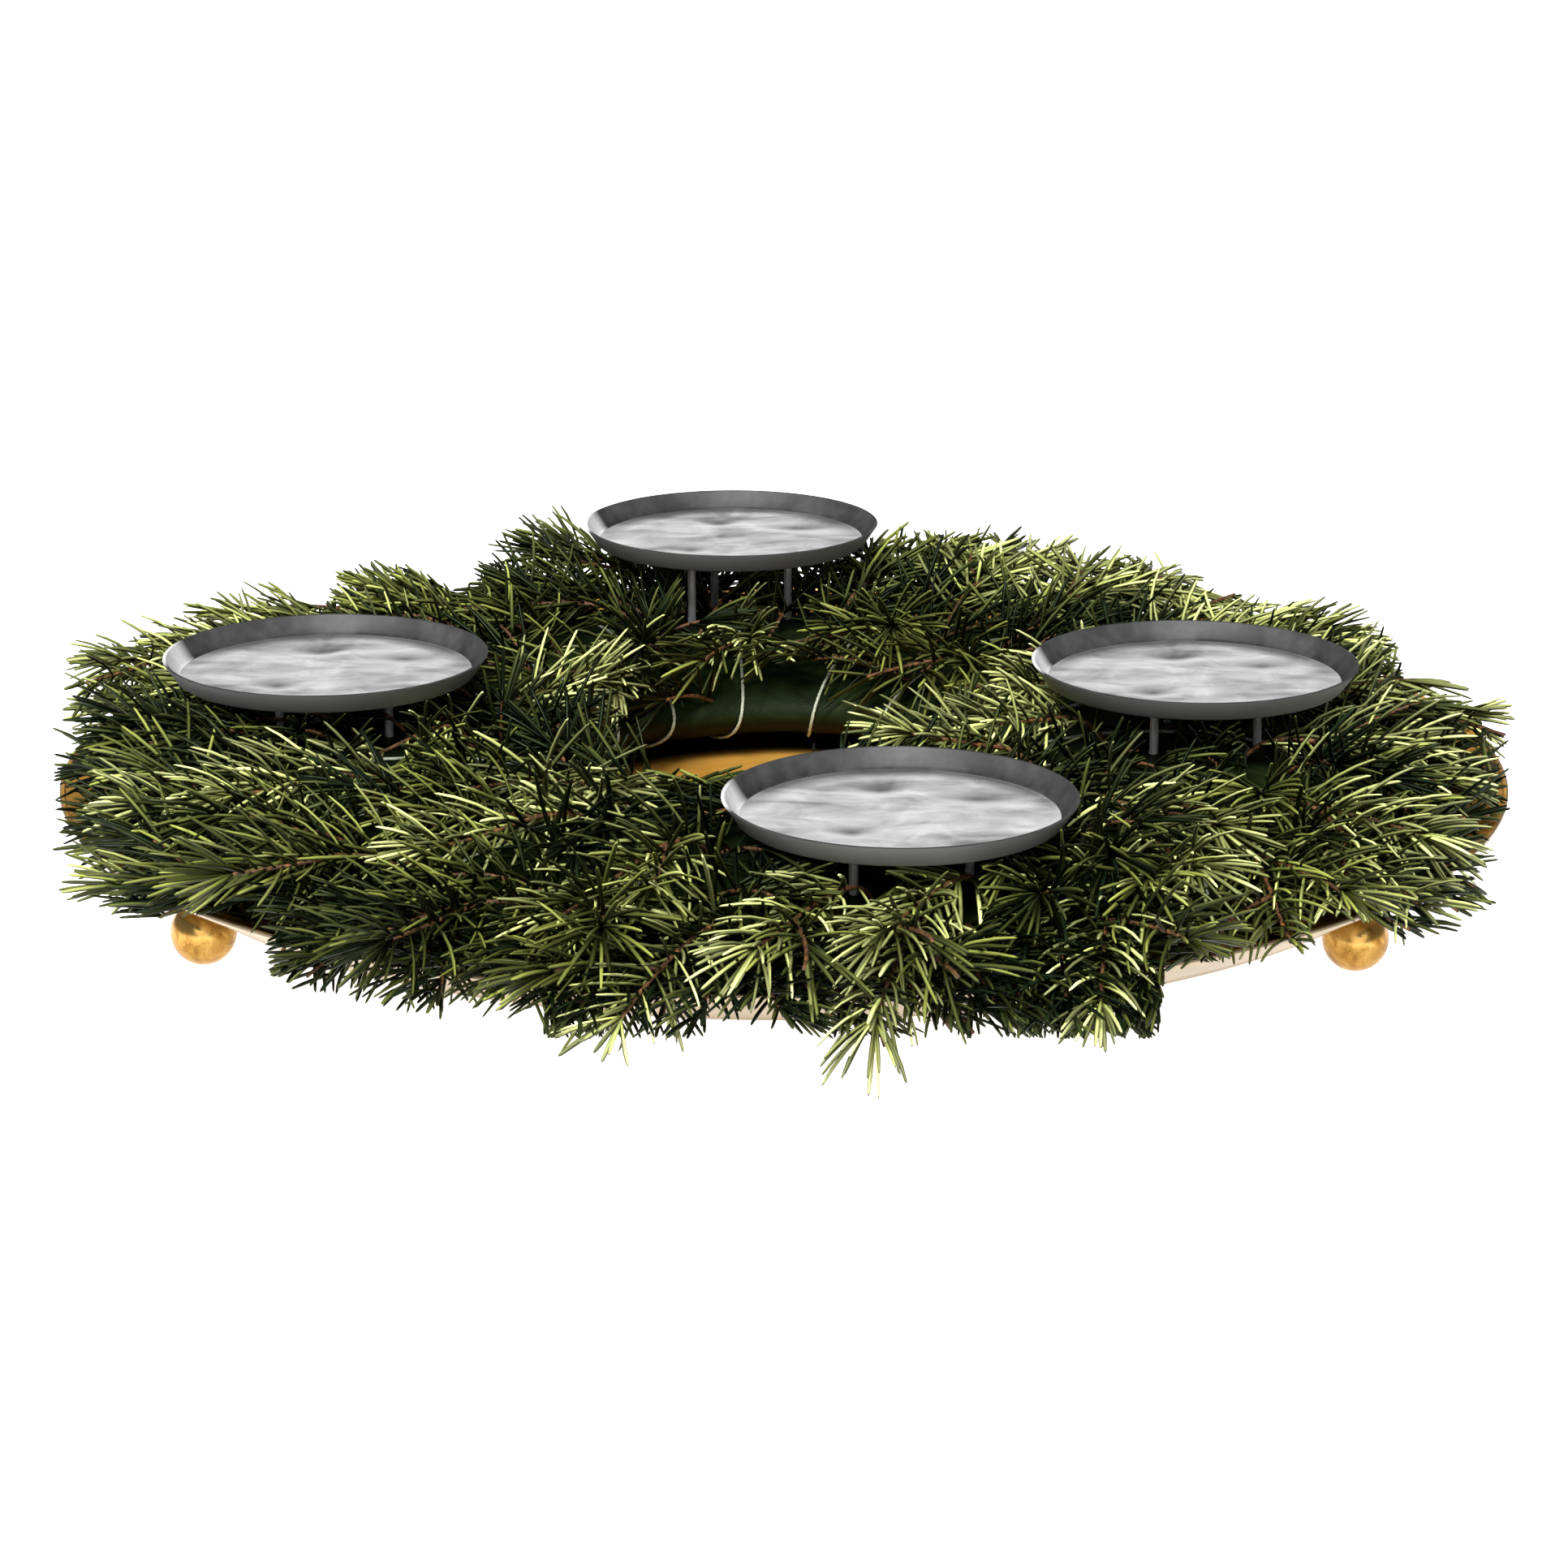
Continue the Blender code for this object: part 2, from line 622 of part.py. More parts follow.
def thread_path():
    """The thread's turns round the ring, a closed coil with a point over each edge of the ring's section."""
    out = THREAD_GAP + THREAD_HEIGHT - THREAD_RADIUS
    steps = THREAD_TURNS * RING_SIDES
    path = []
    for k in range(steps):
        point, _ = on_ring(THREAD_START + 360 * k / steps, 360 * k / RING_SIDES, out)
        path.append(point)
    return path


def make_thread(path, material):
    points, faces = [], []
    count = len(path)
    for k in range(count):
        ahead = (path[(k + 1) % count] - path[k - 1]).normalized()
        turn = 360 * k / RING_SIDES
        _, normal = on_ring(THREAD_START + 360 * k / count, turn)
        across = ahead.cross(normal).normalized()
        for i in range(THREAD_SIDES):
            angle = 2 * math.pi * i / THREAD_SIDES + math.pi / 2
            points.append(path[k] + THREAD_RADIUS * (math.cos(angle) * across + math.sin(angle) * normal))
    for k in range(count):
        for i in range(THREAD_SIDES):
            a, b = k * THREAD_SIDES, ((k + 1) % count) * THREAD_SIDES
            m = (i + 1) % THREAD_SIDES
            faces.append((a + i, a + m, b + m, b + i))
    thread = outward(mesh_object("binding_thread", points, faces, material))
    smooth(thread)
    return thread


def pin_lines():
    """Each pin's name, top and point."""
    lines = []
    for name, (x, y), rim_height in DISHES:
        top = rim_height - DISH_DEPTH - DISH_SHEET - GAP
        for number, azimuth in enumerate(PIN_ANGLES, 1):
            angle = math.radians(azimuth)
            px, py = x + PIN_CIRCLE * math.cos(angle), y + PIN_CIRCLE * math.sin(angle)
            lines.append((f"pin_{name}_{number}", Vector((px, py, top)), Vector((px, py, PIN_FOOT_HEIGHT))))
    return lines


def make_dishes(steel, dark_steel):
    run = DISH_RIM_RADIUS - DISH_FLOOR_RADIUS
    inward = DISH_SHEET / math.sin(math.atan2(DISH_DEPTH, run))
    for name, centre, rim_height in DISHES:
        floor = rim_height - DISH_DEPTH
        profile = (
            (DISH_FLOOR_RADIUS - 1 * MM, floor - DISH_SHEET),
            (DISH_FLOOR_RADIUS + 0.4 * MM, floor - 0.3 * DISH_SHEET),
            (DISH_RIM_RADIUS, rim_height - 0.2 * MM),
            (DISH_RIM_RADIUS - 0.6 * inward, rim_height),
            (DISH_RIM_RADIUS - inward, rim_height - 0.4 * MM),
            (DISH_FLOOR_RADIUS - 0.6 * MM, floor),
        )
        turned("dish_" + name, profile, DISH_SEGMENTS, steel, centre)
    for name, top, foot in pin_lines():
        path = [top, foot + Vector((0, 0, PIN_POINT)), foot]
        points, faces = tube_mesh(path, [PIN_RADIUS, PIN_RADIUS, 0], PIN_SIDES, pointed=True)
        smooth(outward(mesh_object(name, points, faces, dark_steel)))


def fixed_neighbours(thread, pins):
    """The thread and the pins, which stems and needles keep clear of."""
    neighbours = Neighbours()
    neighbours.add(thread + thread[:1], [THREAD_RADIUS] * (len(thread) + 1))
    for _, top, foot in pins:
        neighbours.add([top, foot], [PIN_RADIUS, PIN_RADIUS])
    return neighbours


def grow_needles(sprigs, thread, pins):
    """Each sprig's needles, clear of all that lies round it and of the needles that are there already."""
    rng = random.Random(SEED)
    placed = []
    grown = {}
    for name, paths in sprigs:
        others = fixed_neighbours(thread, pins)
        for other, other_paths in sprigs:
            if other != name:
                for path, radii in other_paths:
                    others.add(path, radii)
        for foot, tip in placed:
            others.add([foot, tip], [NEEDLE_RADIUS, 0])
        own = Neighbours()
        needles = []
        for number, (path, _) in enumerate(paths):
            limbs = Neighbours()
            for limb, sizes in paths[:number] + paths[number + 1 :]:
                limbs.add(limb, sizes)
            bare = SHOOT_BARE if number else STEM_DEPTH + STEM_OUT + STEM_BARE
            sides = SHOOT_SIDES if number else STEM_SIDES
            needles += needles_on(path, bare, sides, rng, own, limbs, others)
        placed += needles
        grown[name] = needles
    return grown


def main():
    clear_scene()
    materials = {name: make_material(name) for name in COLOURS}
    make_tray(materials["gold"])
    make_feet(materials["brass"])
    make_dishes(materials["steel"], materials["dark_steel"])
    thread = thread_path()
    make_thread(thread, materials["thread"])

    pins = pin_lines()
    sprigs = lay_sprigs(fixed_neighbours(thread, pins))
    holes = [(PIN_RADIUS, foot, top, PIN_HOLE_SIDES) for _, top, foot in pins]
    for _, paths in sprigs:
        foot, leave = paths[0][0][:2]
        mouth = leave + (leave - foot).normalized() * HOLE_MOUTH
        holes.append((STEM_RADIUS, foot, mouth, ROOT_HOLE_SIDES))
    make_ring(materials["green_film"], holes)

    needles = grow_needles(sprigs, thread, pins)
    for name, paths in sprigs:
        sprig_object(name, paths, needles[name], materials["fir"])


main()
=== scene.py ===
"""Advent wreath: dense curved fir needles, wrapped ring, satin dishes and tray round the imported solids.

Metres, +Z up, -Y to the front. Lengths are given in millimetres and scaled by MM.
"""

import math
import random

import bpy
import numpy as np
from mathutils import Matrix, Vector


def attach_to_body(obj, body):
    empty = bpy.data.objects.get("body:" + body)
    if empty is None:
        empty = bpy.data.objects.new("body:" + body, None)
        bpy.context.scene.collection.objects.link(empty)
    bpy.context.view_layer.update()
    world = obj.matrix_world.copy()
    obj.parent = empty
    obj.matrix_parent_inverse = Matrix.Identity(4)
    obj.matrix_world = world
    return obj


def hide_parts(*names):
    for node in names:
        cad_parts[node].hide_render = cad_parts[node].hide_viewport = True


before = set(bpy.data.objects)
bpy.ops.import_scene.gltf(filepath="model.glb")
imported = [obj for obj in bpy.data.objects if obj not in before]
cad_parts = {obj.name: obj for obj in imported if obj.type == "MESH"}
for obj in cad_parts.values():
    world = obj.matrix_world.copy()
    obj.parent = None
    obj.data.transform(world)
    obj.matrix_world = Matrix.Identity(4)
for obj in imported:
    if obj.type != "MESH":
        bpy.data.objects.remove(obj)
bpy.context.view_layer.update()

MM = 0.001
SEED = 11

# Tray, feet and wreath base, as in the solids
TRAY_CENTRE = (0, 11.5 * MM)
TRAY_RIM_RADIUS = 200 * MM
TRAY_FLOOR_RADIUS = 180 * MM
TRAY_SHEET = 1.2 * MM
TRAY_UNDERSIDE = 17.0 * MM
TRAY_RIM_HEIGHT = 31.0 * MM
FOOT_RADIUS = 8.7 * MM
FOOT_FLAT_RADIUS = 2.6 * MM
FOOT_CIRCLE = 174 * MM
FOOT_ANGLES = (89, 209, 329)
FOOT_STEPS = 36
BRUSHED = 2600  # how fine the brushed lines of the tray are
SHADE_MIDDLE = -10.5 * MM  # of the tray's floor in the shade of the ring, in the tray's own space
SHADE = (60 * MM, 67 * MM, 135 * MM, 150 * MM)  # where that shade starts, is full, starts to end and ends
WREATH_CENTRE = (0, -10.5 * MM)
RING_RADIUS = 108 * MM
RING_HALF_WIDTH = 48 * MM
RING_HALF_HEIGHT = 13 * MM
RING_CENTRE_HEIGHT = 32.95 * MM
THREAD_TURNS = 18
THREAD_RADIUS = 0.5 * MM
THREAD_START = 12  # degrees of azimuth
THREAD_OUT = 0.62 * MM  # from the ring to the thread's middle
RING_SIDES = 8  # of the solid ring, round its section
FILM_SEGMENTS = 360
FILM_SIDES = 56
THREAD_SIDES = 8
THREAD_STEPS = 96  # for each turn
THREAD_TWISTS = 30  # for each turn

# Candle dishes: name, centre and rim height
DISHES = (
    ("left", (-124.4 * MM, -13.3 * MM), 68.0 * MM),
    ("right", (110.9 * MM, -20.4 * MM), 68.0 * MM),
    ("back", (-15.9 * MM, 118.8 * MM), 74.0 * MM),
    ("front", (28.5 * MM, -134.2 * MM), 64.0 * MM),
)
DISH_RIM_RADIUS = 44 * MM
DISH_FLOOR_RADIUS = 38.5 * MM
DISH_DEPTH = 5.2 * MM
DISH_SHEET = 0.8 * MM
DENTS = ((-12, -14, 1.2), (-4, 22, 1.3), (20, 14, 2.0))  # mm in a dish's floor, and how wide they are
DENT_SHADE = 5.0 * MM  # how far a dent's shade and shine reach
PIN_RADIUS = 1.2 * MM
PIN_CIRCLE = 17.4 * MM
PIN_ANGLES = (-12, -132, -252)
PIN_POINT = 4 * MM
PIN_FOOT_HEIGHT = 27 * MM
GAP = 0.3 * MM

# Fir sprigs: name, root azimuth, place round the ring's section, tip azimuth, tip distance and height,
# slope at the tip, side shoots, and how light the needles are, from 0 to a little over 1
SPRIGS = (
    ("left_1", 154, 85, 166, 194, 53, 0.1, 2, 0.75),
    ("left_2", 170, 90, 175, 188, 45, 0.0, 2, 0.75),
    ("left_3", 222, 75, 204, 180, 46, 0.0, 1, 0.95),
    ("left_4", 236, 30, 214, 200, 37, -0.1, 1, 0.65),
    ("left_5", 252, 25, 235, 194, 34, -0.3, 1, 0.20),
    ("left_6", 247, 85, 234, 156, 53, 0.1, 0, 1.05),
    ("left_7", 190, 118, 199, 120, 49, 0.1, 0, 1.00),
    ("back_1", 141, 90, 149, 186, 54, 0.2, 2, 0.65),
    ("back_2", 130, 100, 139, 156, 60, 0.4, 1, 0.55),
    ("back_3", 114, 95, 132, 128, 58, 0.2, 1, 0.15),
    ("back_4", 104, 60, 113, 170, 60, 0.3, 1, 0.35),
    ("back_5", 90, 30, 103, 182, 56, 0.2, 1, 0.50),
    ("back_6", 80, 90, 73, 162, 59, 0.3, 1, 0.45),
    ("back_7", 64, 90, 62, 174, 58, 0.2, 1, 0.80),
    ("back_8", 50, 90, 48, 174, 57, 0.2, 2, 0.95),
    ("back_9", 36, 60, 34, 168, 53, 0.1, 1, 0.95),
    ("right_1", 24, 85, 22, 178, 54, 0.1, 2, 0.90),
    ("right_2", 8, 60, 3, 187, 47, 0.0, 1, 0.90),
    ("right_3", 345, 70, 346, 183, 43, 0.0, 1, 0.95),
    ("right_4", 331, 50, 321, 202, 36, -0.2, 2, 0.85),
    ("right_5", 313, 85, 306, 170, 50, 0.2, 1, 0.95),
    ("right_6", 316, 35, 309, 194, 35, -0.3, 1, 0.65),
    ("front_1", 301, 30, 292, 198, 31, -0.6, 0, 0.95),
    ("front_2", 283, 25, 276, 198, 31, -0.6, 0, 1.00),
    ("front_3", 266, 25, 259, 198, 31, -0.6, 0, 1.00),
    ("front_4", 276, 42, 268, 188, 46, -0.1, 0, 0.95),
    ("front_5", 262, 75, 252, 172, 46, -0.1, 1, 0.80),
    ("front_6", 292, 42, 283, 188, 42, 0.0, 0, 0.80),
    ("inner_1", 100, 110, 98, 66, 54, 0.3, 0, 0.75),
    ("inner_2", 124, 120, 142, 60, 50, 0.1, 1, 0.90),
    ("inner_3", 22, 105, 6, 68, 56, 0.2, 1, 1.00),
    ("inner_4", 52, 118, 44, 54, 52, 0.1, 1, 0.35),
    ("inner_5", 324, 118, 312, 56, 56, 0.1, 1, 0.90),
    ("inner_6", 70, 105, 73, 74, 56, 0.4, 1, 0.45),
    ("inner_7", 178, 118, 172, 64, 50, 0.1, 1, 1.05),
    ("inner_8", 226, 110, 239, 116, 54, 0.1, 1, 1.05),
    ("inner_9", 356, 115, 348, 62, 52, 0.1, 1, 0.95),
)
STEM_RADIUS = 2.2 * MM
STEM_RADII = (2.2 * MM, 3.0 * MM, 3.2 * MM, 2.8 * MM, 1.3 * MM)
STEM_STEPS = len(STEM_RADII) - 1
STEM_DEPTH = 9 * MM
STEM_OUT = 5 * MM
SHOOT_RADII = (2.0 * MM, 2.7 * MM, 1.2 * MM)
SHOOT_LENGTH = 29 * MM
SHOOT_SHORTER = 3 * MM
SHOOT_ANGLE = 42
SHOOT_PLACES = (0.34, 0.54, 0.72)
STEM_LIFT = 1.5 * MM
STEM_SWING = 3
STEM_CLEARANCE = 1.2 * MM
ROOT_CLEARANCE = 4.5
NEEDLE_CLEARANCE = 0.35 * MM

# Where the sprigs may reach
HALF_WIDTH = 204 * MM
HALF_LENGTH = 218 * MM
SIDE_TAPER = 0.164  # by which the wreath narrows to the front, for each unit of length
LOWEST = 13 * MM
HIGHEST = 75.5 * MM
TOP_FALL = 0.10  # by which the needles' highest place falls outward
TOP_FALL_START = 150 * MM
RAGGED = 3.0 * MM  # how unevenly the shoots end at these limits
HOLE_OPEN_RADIUS = 49 * MM

# What the sprigs leave in sight from the front
PIN_SHOWN = {"left": (25, 11, 23), "right": (28, 20, 24), "back": (30, 25, 26), "front": (27, 18, 26)}
FOOT_SHOWN = 12 * MM
HOLE_SHOWN = (-50 * MM, 20 * MM, 34 * MM, 114 * MM)  # left, right, near and far on the tray's floor
HOLE_RAGGED = 16 * MM

# The outline of the foliage from the front: mm to the right of the middle of the view, and above it
TOP_OUTLINE = (
    (-207, 38), (-195, 43), (-166, 52), (-150, 58), (-134, 57), (-130, 49), (-125, 62), (-112, 65),
    (-96, 61), (-91, 54), (-82, 69), (-73, 76), (-62, 82), (-37, 85), (28, 72), (37, 76), (53, 74),
    (82, 74), (85, 67), (98, 69), (116, 60), (121, 54), (143, 55), (161, 53), (171, 40), (173, 30),
    (201, 27), (207, 18),
)
BOTTOM_OUTLINE = (
    (-206, -33), (-188, -41), (-146, -44), (-143, -56), (-128, -61), (-105, -66), (-82, -66),
    (-68, -66), (-64, -81), (-44, -89), (-24, -81), (-19, -70), (2, -70), (6, -83), (26, -89),
    (48, -81), (58, -70), (64, -79), (87, -82), (104, -72), (108, -53), (165, -51), (198, -38),
    (200, -20), (207, 0),
)
OUTLINE_ROOM = 6 * MM  # from the stems of the filling shoots to this outline
SKIRT_OUTLINE_ROOM = 5 * MM
SKIRT_ROOM = 2 * MM
# Tones under this are painted shade, given to the shoots that lie beneath the others
DARK = 0.18  # the lightest tone of the shoots that lie beneath the others
DARK_LOWEST = -71 * MM  # in the view from the front

# The finer sprigs
BARK_RADIUS = 0.80 * MM  # of a stem at its root
TIP_RADIUS = 0.45 * MM
BARK_SIDES = 8
PATH_STEP = 2.5 * MM
CURVE_STEPS = 24
SHOOT_CURVE_STEPS = 12
SHOOT_PULL = 1.15  # how much farther out a side shoot's curve is pulled than its bend in the solid
SHOOT_BARK = 0.75  # of a stem's thickness
BARE = 3 * MM  # of a shoot's foot
TWIG_TRIES = 50  # of one more side shoot that fills each sprig
TWIG_LENGTHS = (20, 30)  # mm
TWIG_PLACES = (0.12, 0.95)  # along its stem
TWIG_ANGLES = (38, 66)  # degrees from its stem
TWIG_ROOM = 6.5 * MM
TWIG_RISE = 0.30  # the most by which it leaves the level to either side of its stem
TWIG_HIGHEST = 58 * MM
# Painted shade: a filling side shoot, lying beneath, gets only a share of its sprig's tone
TWIG_TONE = 0.5  # of its sprig's
COVER_TRIES = 9000  # of short shoots over what is left of the bare ring
COVER_ROOM = 8.0 * MM
# Painted shade: the low cover shoots on the ring get a dark tone
COVER_TONE = 0.10
COVER_TONES = (0.4, 1.6)  # shares of it
COVER_PLACES = (-20, 165)  # degrees round the ring's section, from its outer side over its top
COVER_INWARD = 120  # the place past which they point inward
COVER_TURN = 75  # the most by which they turn from straight out or in, in degrees
COVER_RISES = (-0.10, 0.25)
COVER_HALVES = (12, 19)  # mm, half of their length
COVER_LEAVE = 0.7  # how much they first follow the ring's normal
ROOT_DEPTH = 2 * MM  # of the cover's and the skirt's shoots in the ring
SKIRT_AZIMUTHS = range(216, 328, 2)  # of dark shoots that hang over the front of the tray
SKIRT_REACH = (192 * MM, 201 * MM)  # at the left and the front, and at the right
SKIRT_RIGHT = 300  # the azimuth where the right begins
SKIRT_UNEVEN = (-7, 3)  # mm by which that reach changes
SKIRT_TRIES = 40
SKIRT_TURN = 4  # the most by which a root leaves its azimuth, in degrees
SKIRT_PLACES = (-5, 35)  # degrees round the ring's section
SKIRT_SWINGS = (-24, 6)  # degrees from root to tip
SKIRT_HEIGHTS = (23, 31)  # mm, of the tips
SKIRT_ARCHES = (5, 9)  # mm
# Painted shade: the skirt's shoots over the tray's front wall get a share of the cover's dark tone
SKIRT_TONES = (0.2, 1.0)  # shares of the cover's tone
NEEDLE_LENGTH = 22.5 * MM
NEEDLE_HALF_WIDTH = 0.58 * MM
NEEDLE_HALF_HEIGHT = 0.44 * MM
NEEDLES_PER_MM = 1.05
SKIRT_NEEDLES_PER_MM = 1.7
CROWN_NEEDLES = 14  # on a shoot's tip
CROWN_LENGTH = 1.6  # mm of the tip that they stand on
CROWN_LEANS = (8, 62)  # degrees from the shoot
NEEDLE_LEANS = (60, 74)
LEAN_FALL = 18  # by which the needles lean less at the shoot's tip
LATER_LEANS = (0.55, 0.80)  # of that lean, in a needle's outer half
INNER_SHARE = 0.48  # of a needle's length, up to its bend
OUTER_SHARE = 0.52
SAGS = (0.0, 0.30)
NEEDLE_TRIES = 8  # of a free place for each needle
SHRINK = 0.93  # of its length and lean with each try
SHARP = 35  # degrees between the faces at a turned piece's edges
GOLDEN_ANGLE = math.pi * (3 - math.sqrt(5))
SECTIONS = (0.0, 0.22, 0.50, 0.76, 0.95)  # along a needle
SECTION_SIZES = (0.70, 0.96, 1.0, 0.98, 0.66)
TEST_PLACES = (0.22, 0.38, 0.54, 0.70, 0.86, 1.0)

# Light and camera
LIGHTS = (("key", 5.2, 20, (42, -16, 0)), ("fill", 1.3, 60, (62, 10, 0)))  # strength, spread and turn
WORLD_STRENGTH = 0.27
FLOOR_HALF = 8.0
FLOOR_HEIGHT = -0.02 * MM
ELEVATION = 16.5
DISTANCE = 1200 * MM
TARGET = Vector((0, 2.5 * MM, 26.3 * MM))
LENS = 99.19
SENSOR = 36
BACKWARD = Vector((0, -math.cos(math.radians(ELEVATION)), math.sin(math.radians(ELEVATION))))
UPWARD = Vector((0, math.sin(math.radians(ELEVATION)), math.cos(math.radians(ELEVATION))))
EYE = TARGET + BACKWARD * DISTANCE


# Layout of stems and side shoots


def polar(centre, azimuth, distance):
    """A level place from its azimuth in degrees and its distance from a centre."""
    angle = math.radians(azimuth)
    return centre[0] + distance * math.cos(angle), centre[1] + distance * math.sin(angle)


def around_wreath(azimuth, radius, height):
    """A point from its azimuth and its distance from the wreath's axis."""
    return Vector((*polar(WREATH_CENTRE, azimuth, radius), height))


def on_ring(azimuth, place, out=0.0):
    """A point on the ring's surface, or at a distance out from it, and the normal there."""
    turn = math.radians(place)
    slope = Vector((math.cos(turn) / RING_HALF_WIDTH, math.sin(turn) / RING_HALF_HEIGHT))
    slope.normalize()
    point = around_wreath(
        azimuth,
        RING_RADIUS + RING_HALF_WIDTH * math.cos(turn) + out * slope.x,
        RING_CENTRE_HEIGHT + RING_HALF_HEIGHT * math.sin(turn) + out * slope.y,
    )
    angle = math.radians(azimuth)
    return point, Vector((slope.x * math.cos(angle), slope.x * math.sin(angle), slope.y))


def foot_place(azimuth):
    return polar(TRAY_CENTRE, azimuth, FOOT_CIRCLE)


def distances(start, end, starts, ends):
    """The distance from one segment to each of many."""
    d1, d2 = end - start, ends - starts
    r = start - starts
    a, e = d1 @ d1, (d2 * d2).sum(1)
    b, c, f = d2 @ d1, r @ d1, (d2 * r).sum(1)
    spread = a * e - b * b
    s = np.clip(np.divide(b * f - c * e, spread, out=np.zeros_like(e), where=spread > 1e-18), 0, 1)
    t = np.clip((b * s + f) / e, 0, 1)
    s = np.clip((b * t - c) / a, 0, 1)
    return np.linalg.norm(start + s[:, None] * d1 - starts - t[:, None] * d2, axis=1)


class Neighbours:
    """Straight round pieces that later ones keep clear of."""

    def __init__(self):
        self.starts, self.ends, self.radii = [], [], []
        self.arrays = None

    def add(self, path, radii):
        for k in range(len(path) - 1):
            self.starts.append(tuple(path[k]))
            self.ends.append(tuple(path[k + 1]))
            self.radii.append(max(radii[k], radii[k + 1]))
        self.arrays = None

    def room(self, path, radii):
        """The smallest gap between a path and all the pieces."""
        if self.arrays is None:
            self.arrays = tuple(np.array(part, float) for part in (self.starts, self.ends, self.radii))
        starts, ends, sizes = self.arrays
        least = 1.0
        for k in range(len(path) - 1):
            apart = distances(np.array(path[k]), np.array(path[k + 1]), starts, ends)
            least = min(least, (apart - sizes).min() - max(radii[k], radii[k + 1]))
        return least


def clear_of_body(points, margin, less=0.0):
    """Which points keep off the rigid pieces and, by their own margin less, within the sprigs' reach."""
    x, y, z = points[..., 0], points[..., 1], points[..., 2]
    from_axis = np.hypot(x - WREATH_CENTRE[0], y - WREATH_CENTRE[1])
    top = HIGHEST - TOP_FALL * np.maximum(from_axis - TOP_FALL_START, 0) - less
    clear = (z > LOWEST + less) & (z < top) & (abs(y) < HALF_LENGTH - less)
    clear &= abs(x) < HALF_WIDTH + SIDE_TAPER * np.minimum(y, 0) - less
    clear &= from_axis > HOLE_OPEN_RADIUS
    wide, high = RING_HALF_WIDTH + margin, RING_HALF_HEIGHT + margin
    clear &= ((from_axis - RING_RADIUS) / wide) ** 2 + ((z - RING_CENTRE_HEIGHT) / high) ** 2 > 1
    on_tray = np.hypot(x - TRAY_CENTRE[0], y - TRAY_CENTRE[1])
    low = z < TRAY_UNDERSIDE + TRAY_SHEET + margin
    clear &= ~((on_tray < TRAY_FLOOR_RADIUS + margin) & low)
    along_r, along_z = TRAY_RIM_RADIUS - TRAY_FLOOR_RADIUS, TRAY_RIM_HEIGHT - TRAY_UNDERSIDE
    part = (on_tray - TRAY_FLOOR_RADIUS) * along_r + (z - TRAY_UNDERSIDE) * along_z
    part = np.clip(part / (along_r**2 + along_z**2), 0, 1)
    from_wall = np.hypot(
        on_tray - TRAY_FLOOR_RADIUS - part * along_r,
        z - TRAY_UNDERSIDE - part * along_z,
    )
    clear &= from_wall > TRAY_SHEET + margin
    for angle in FOOT_ANGLES:
        fx, fy = foot_place(angle)
        from_foot = np.sqrt((x - fx) ** 2 + (y - fy) ** 2 + (z - FOOT_RADIUS) ** 2)
        clear &= from_foot > FOOT_RADIUS + margin
    for _, (dx, dy), rim_height in DISHES:
        above = z > rim_height - DISH_DEPTH - DISH_SHEET - margin
        clear &= ~(above & (np.hypot(x - dx, y - dy) < DISH_RIM_RADIUS + margin))
    return clear


def in_front(points, pins, less=0.0):
    """Which points hide a dish, the shown part of a pin or foot, or the wreath's hole from the front."""
    eye = np.array(EYE)
    hidden = np.zeros(points.shape[:-1], bool)

    def meet(height):
        reach = (eye[2] - height) / (eye[2] - points[..., 2])
        hit = eye + (points - eye) * reach[..., None]
        return hit[..., 0], hit[..., 1], reach > 1

    for _, (dx, dy), rim_height in DISHES:
        under = rim_height - DISH_DEPTH - DISH_SHEET
        for height, radius in ((rim_height, DISH_RIM_RADIUS), (under, DISH_FLOOR_RADIUS)):
            x, y, before = meet(height)
            hidden |= before & (np.hypot(x - dx, y - dy) < radius + NEEDLE_HALF_WIDTH)
    x, y, before = meet(TRAY_UNDERSIDE + TRAY_SHEET)
    left, right, near, far = HOLE_SHOWN
    hidden |= before & (x > left + less) & (x < right - less) & (y > near + less) & (y < far - less)
    uprights = [(top.x, top.y, top.z - shown, top.z, PIN_RADIUS) for _, top, _, shown in pins]
    uprights += [(*foot_place(angle), 0, FOOT_SHOWN, FOOT_RADIUS) for angle in FOOT_ANGLES]
    line = points[..., :2] - eye[:2]
    for x, y, low, high, radius in uprights:
        axis = np.array((x, y)) - eye[:2]
        reach = (line @ axis) / (line * line).sum(-1)
        aside = np.linalg.norm(axis - line * reach[..., None], axis=-1)
        height = eye[2] + reach * (points[..., 2] - eye[2])
        seen = (height > low) & (height < high)
        hidden |= (reach > 1) & (aside < radius + NEEDLE_HALF_WIDTH) & seen
    return hidden


def within_outline(points, less, lowest=-HALF_LENGTH):
    """Which points stay within the wreath's outline as it shows from the front."""
    from_target = points - np.array(TARGET)
    scale = DISTANCE / (DISTANCE - from_target @ np.array(BACKWARD))
    aside = points[..., 0] * scale / MM
    height = from_target @ np.array(UPWARD) * scale
    top = np.interp(aside, *zip(*TOP_OUTLINE)) * MM
    bottom = np.interp(aside, *zip(*BOTTOM_OUTLINE)) * MM
    return (height < top - less) & (height > np.maximum(bottom + less, lowest))


def as_points(path):
    return np.array([tuple(point) for point in path])


def path_clear(path, radius, start=0, step=2.0 * MM):
    """Whether a path keeps off the rigid pieces from its point number start on."""
    points = []
    for k in range(start, len(path) - 1):
        stretch = path[k + 1] - path[k]
        count = max(2, math.ceil(stretch.length / step))
        points += [path[k] + stretch * i / count for i in range(count + 1)]
    return bool(clear_of_body(np.array(points), radius + NEEDLE_CLEARANCE).all())


def side_vectors(direction):
    """Two unit vectors at right angles to a direction, the first of them level."""
    level = direction.cross(Vector((0, 0, 1)))
    if level.length < 0.01:
        level = Vector((1, 0, 0))
    level.normalize()
    return level, level.cross(direction).normalized()


def bezier(points, t):
    """A point on the curve that two ends and one or two middle points pull."""
    while len(points) > 1:
        points = [a.lerp(b, t) for a, b in zip(points, points[1:])]
    return points[0]


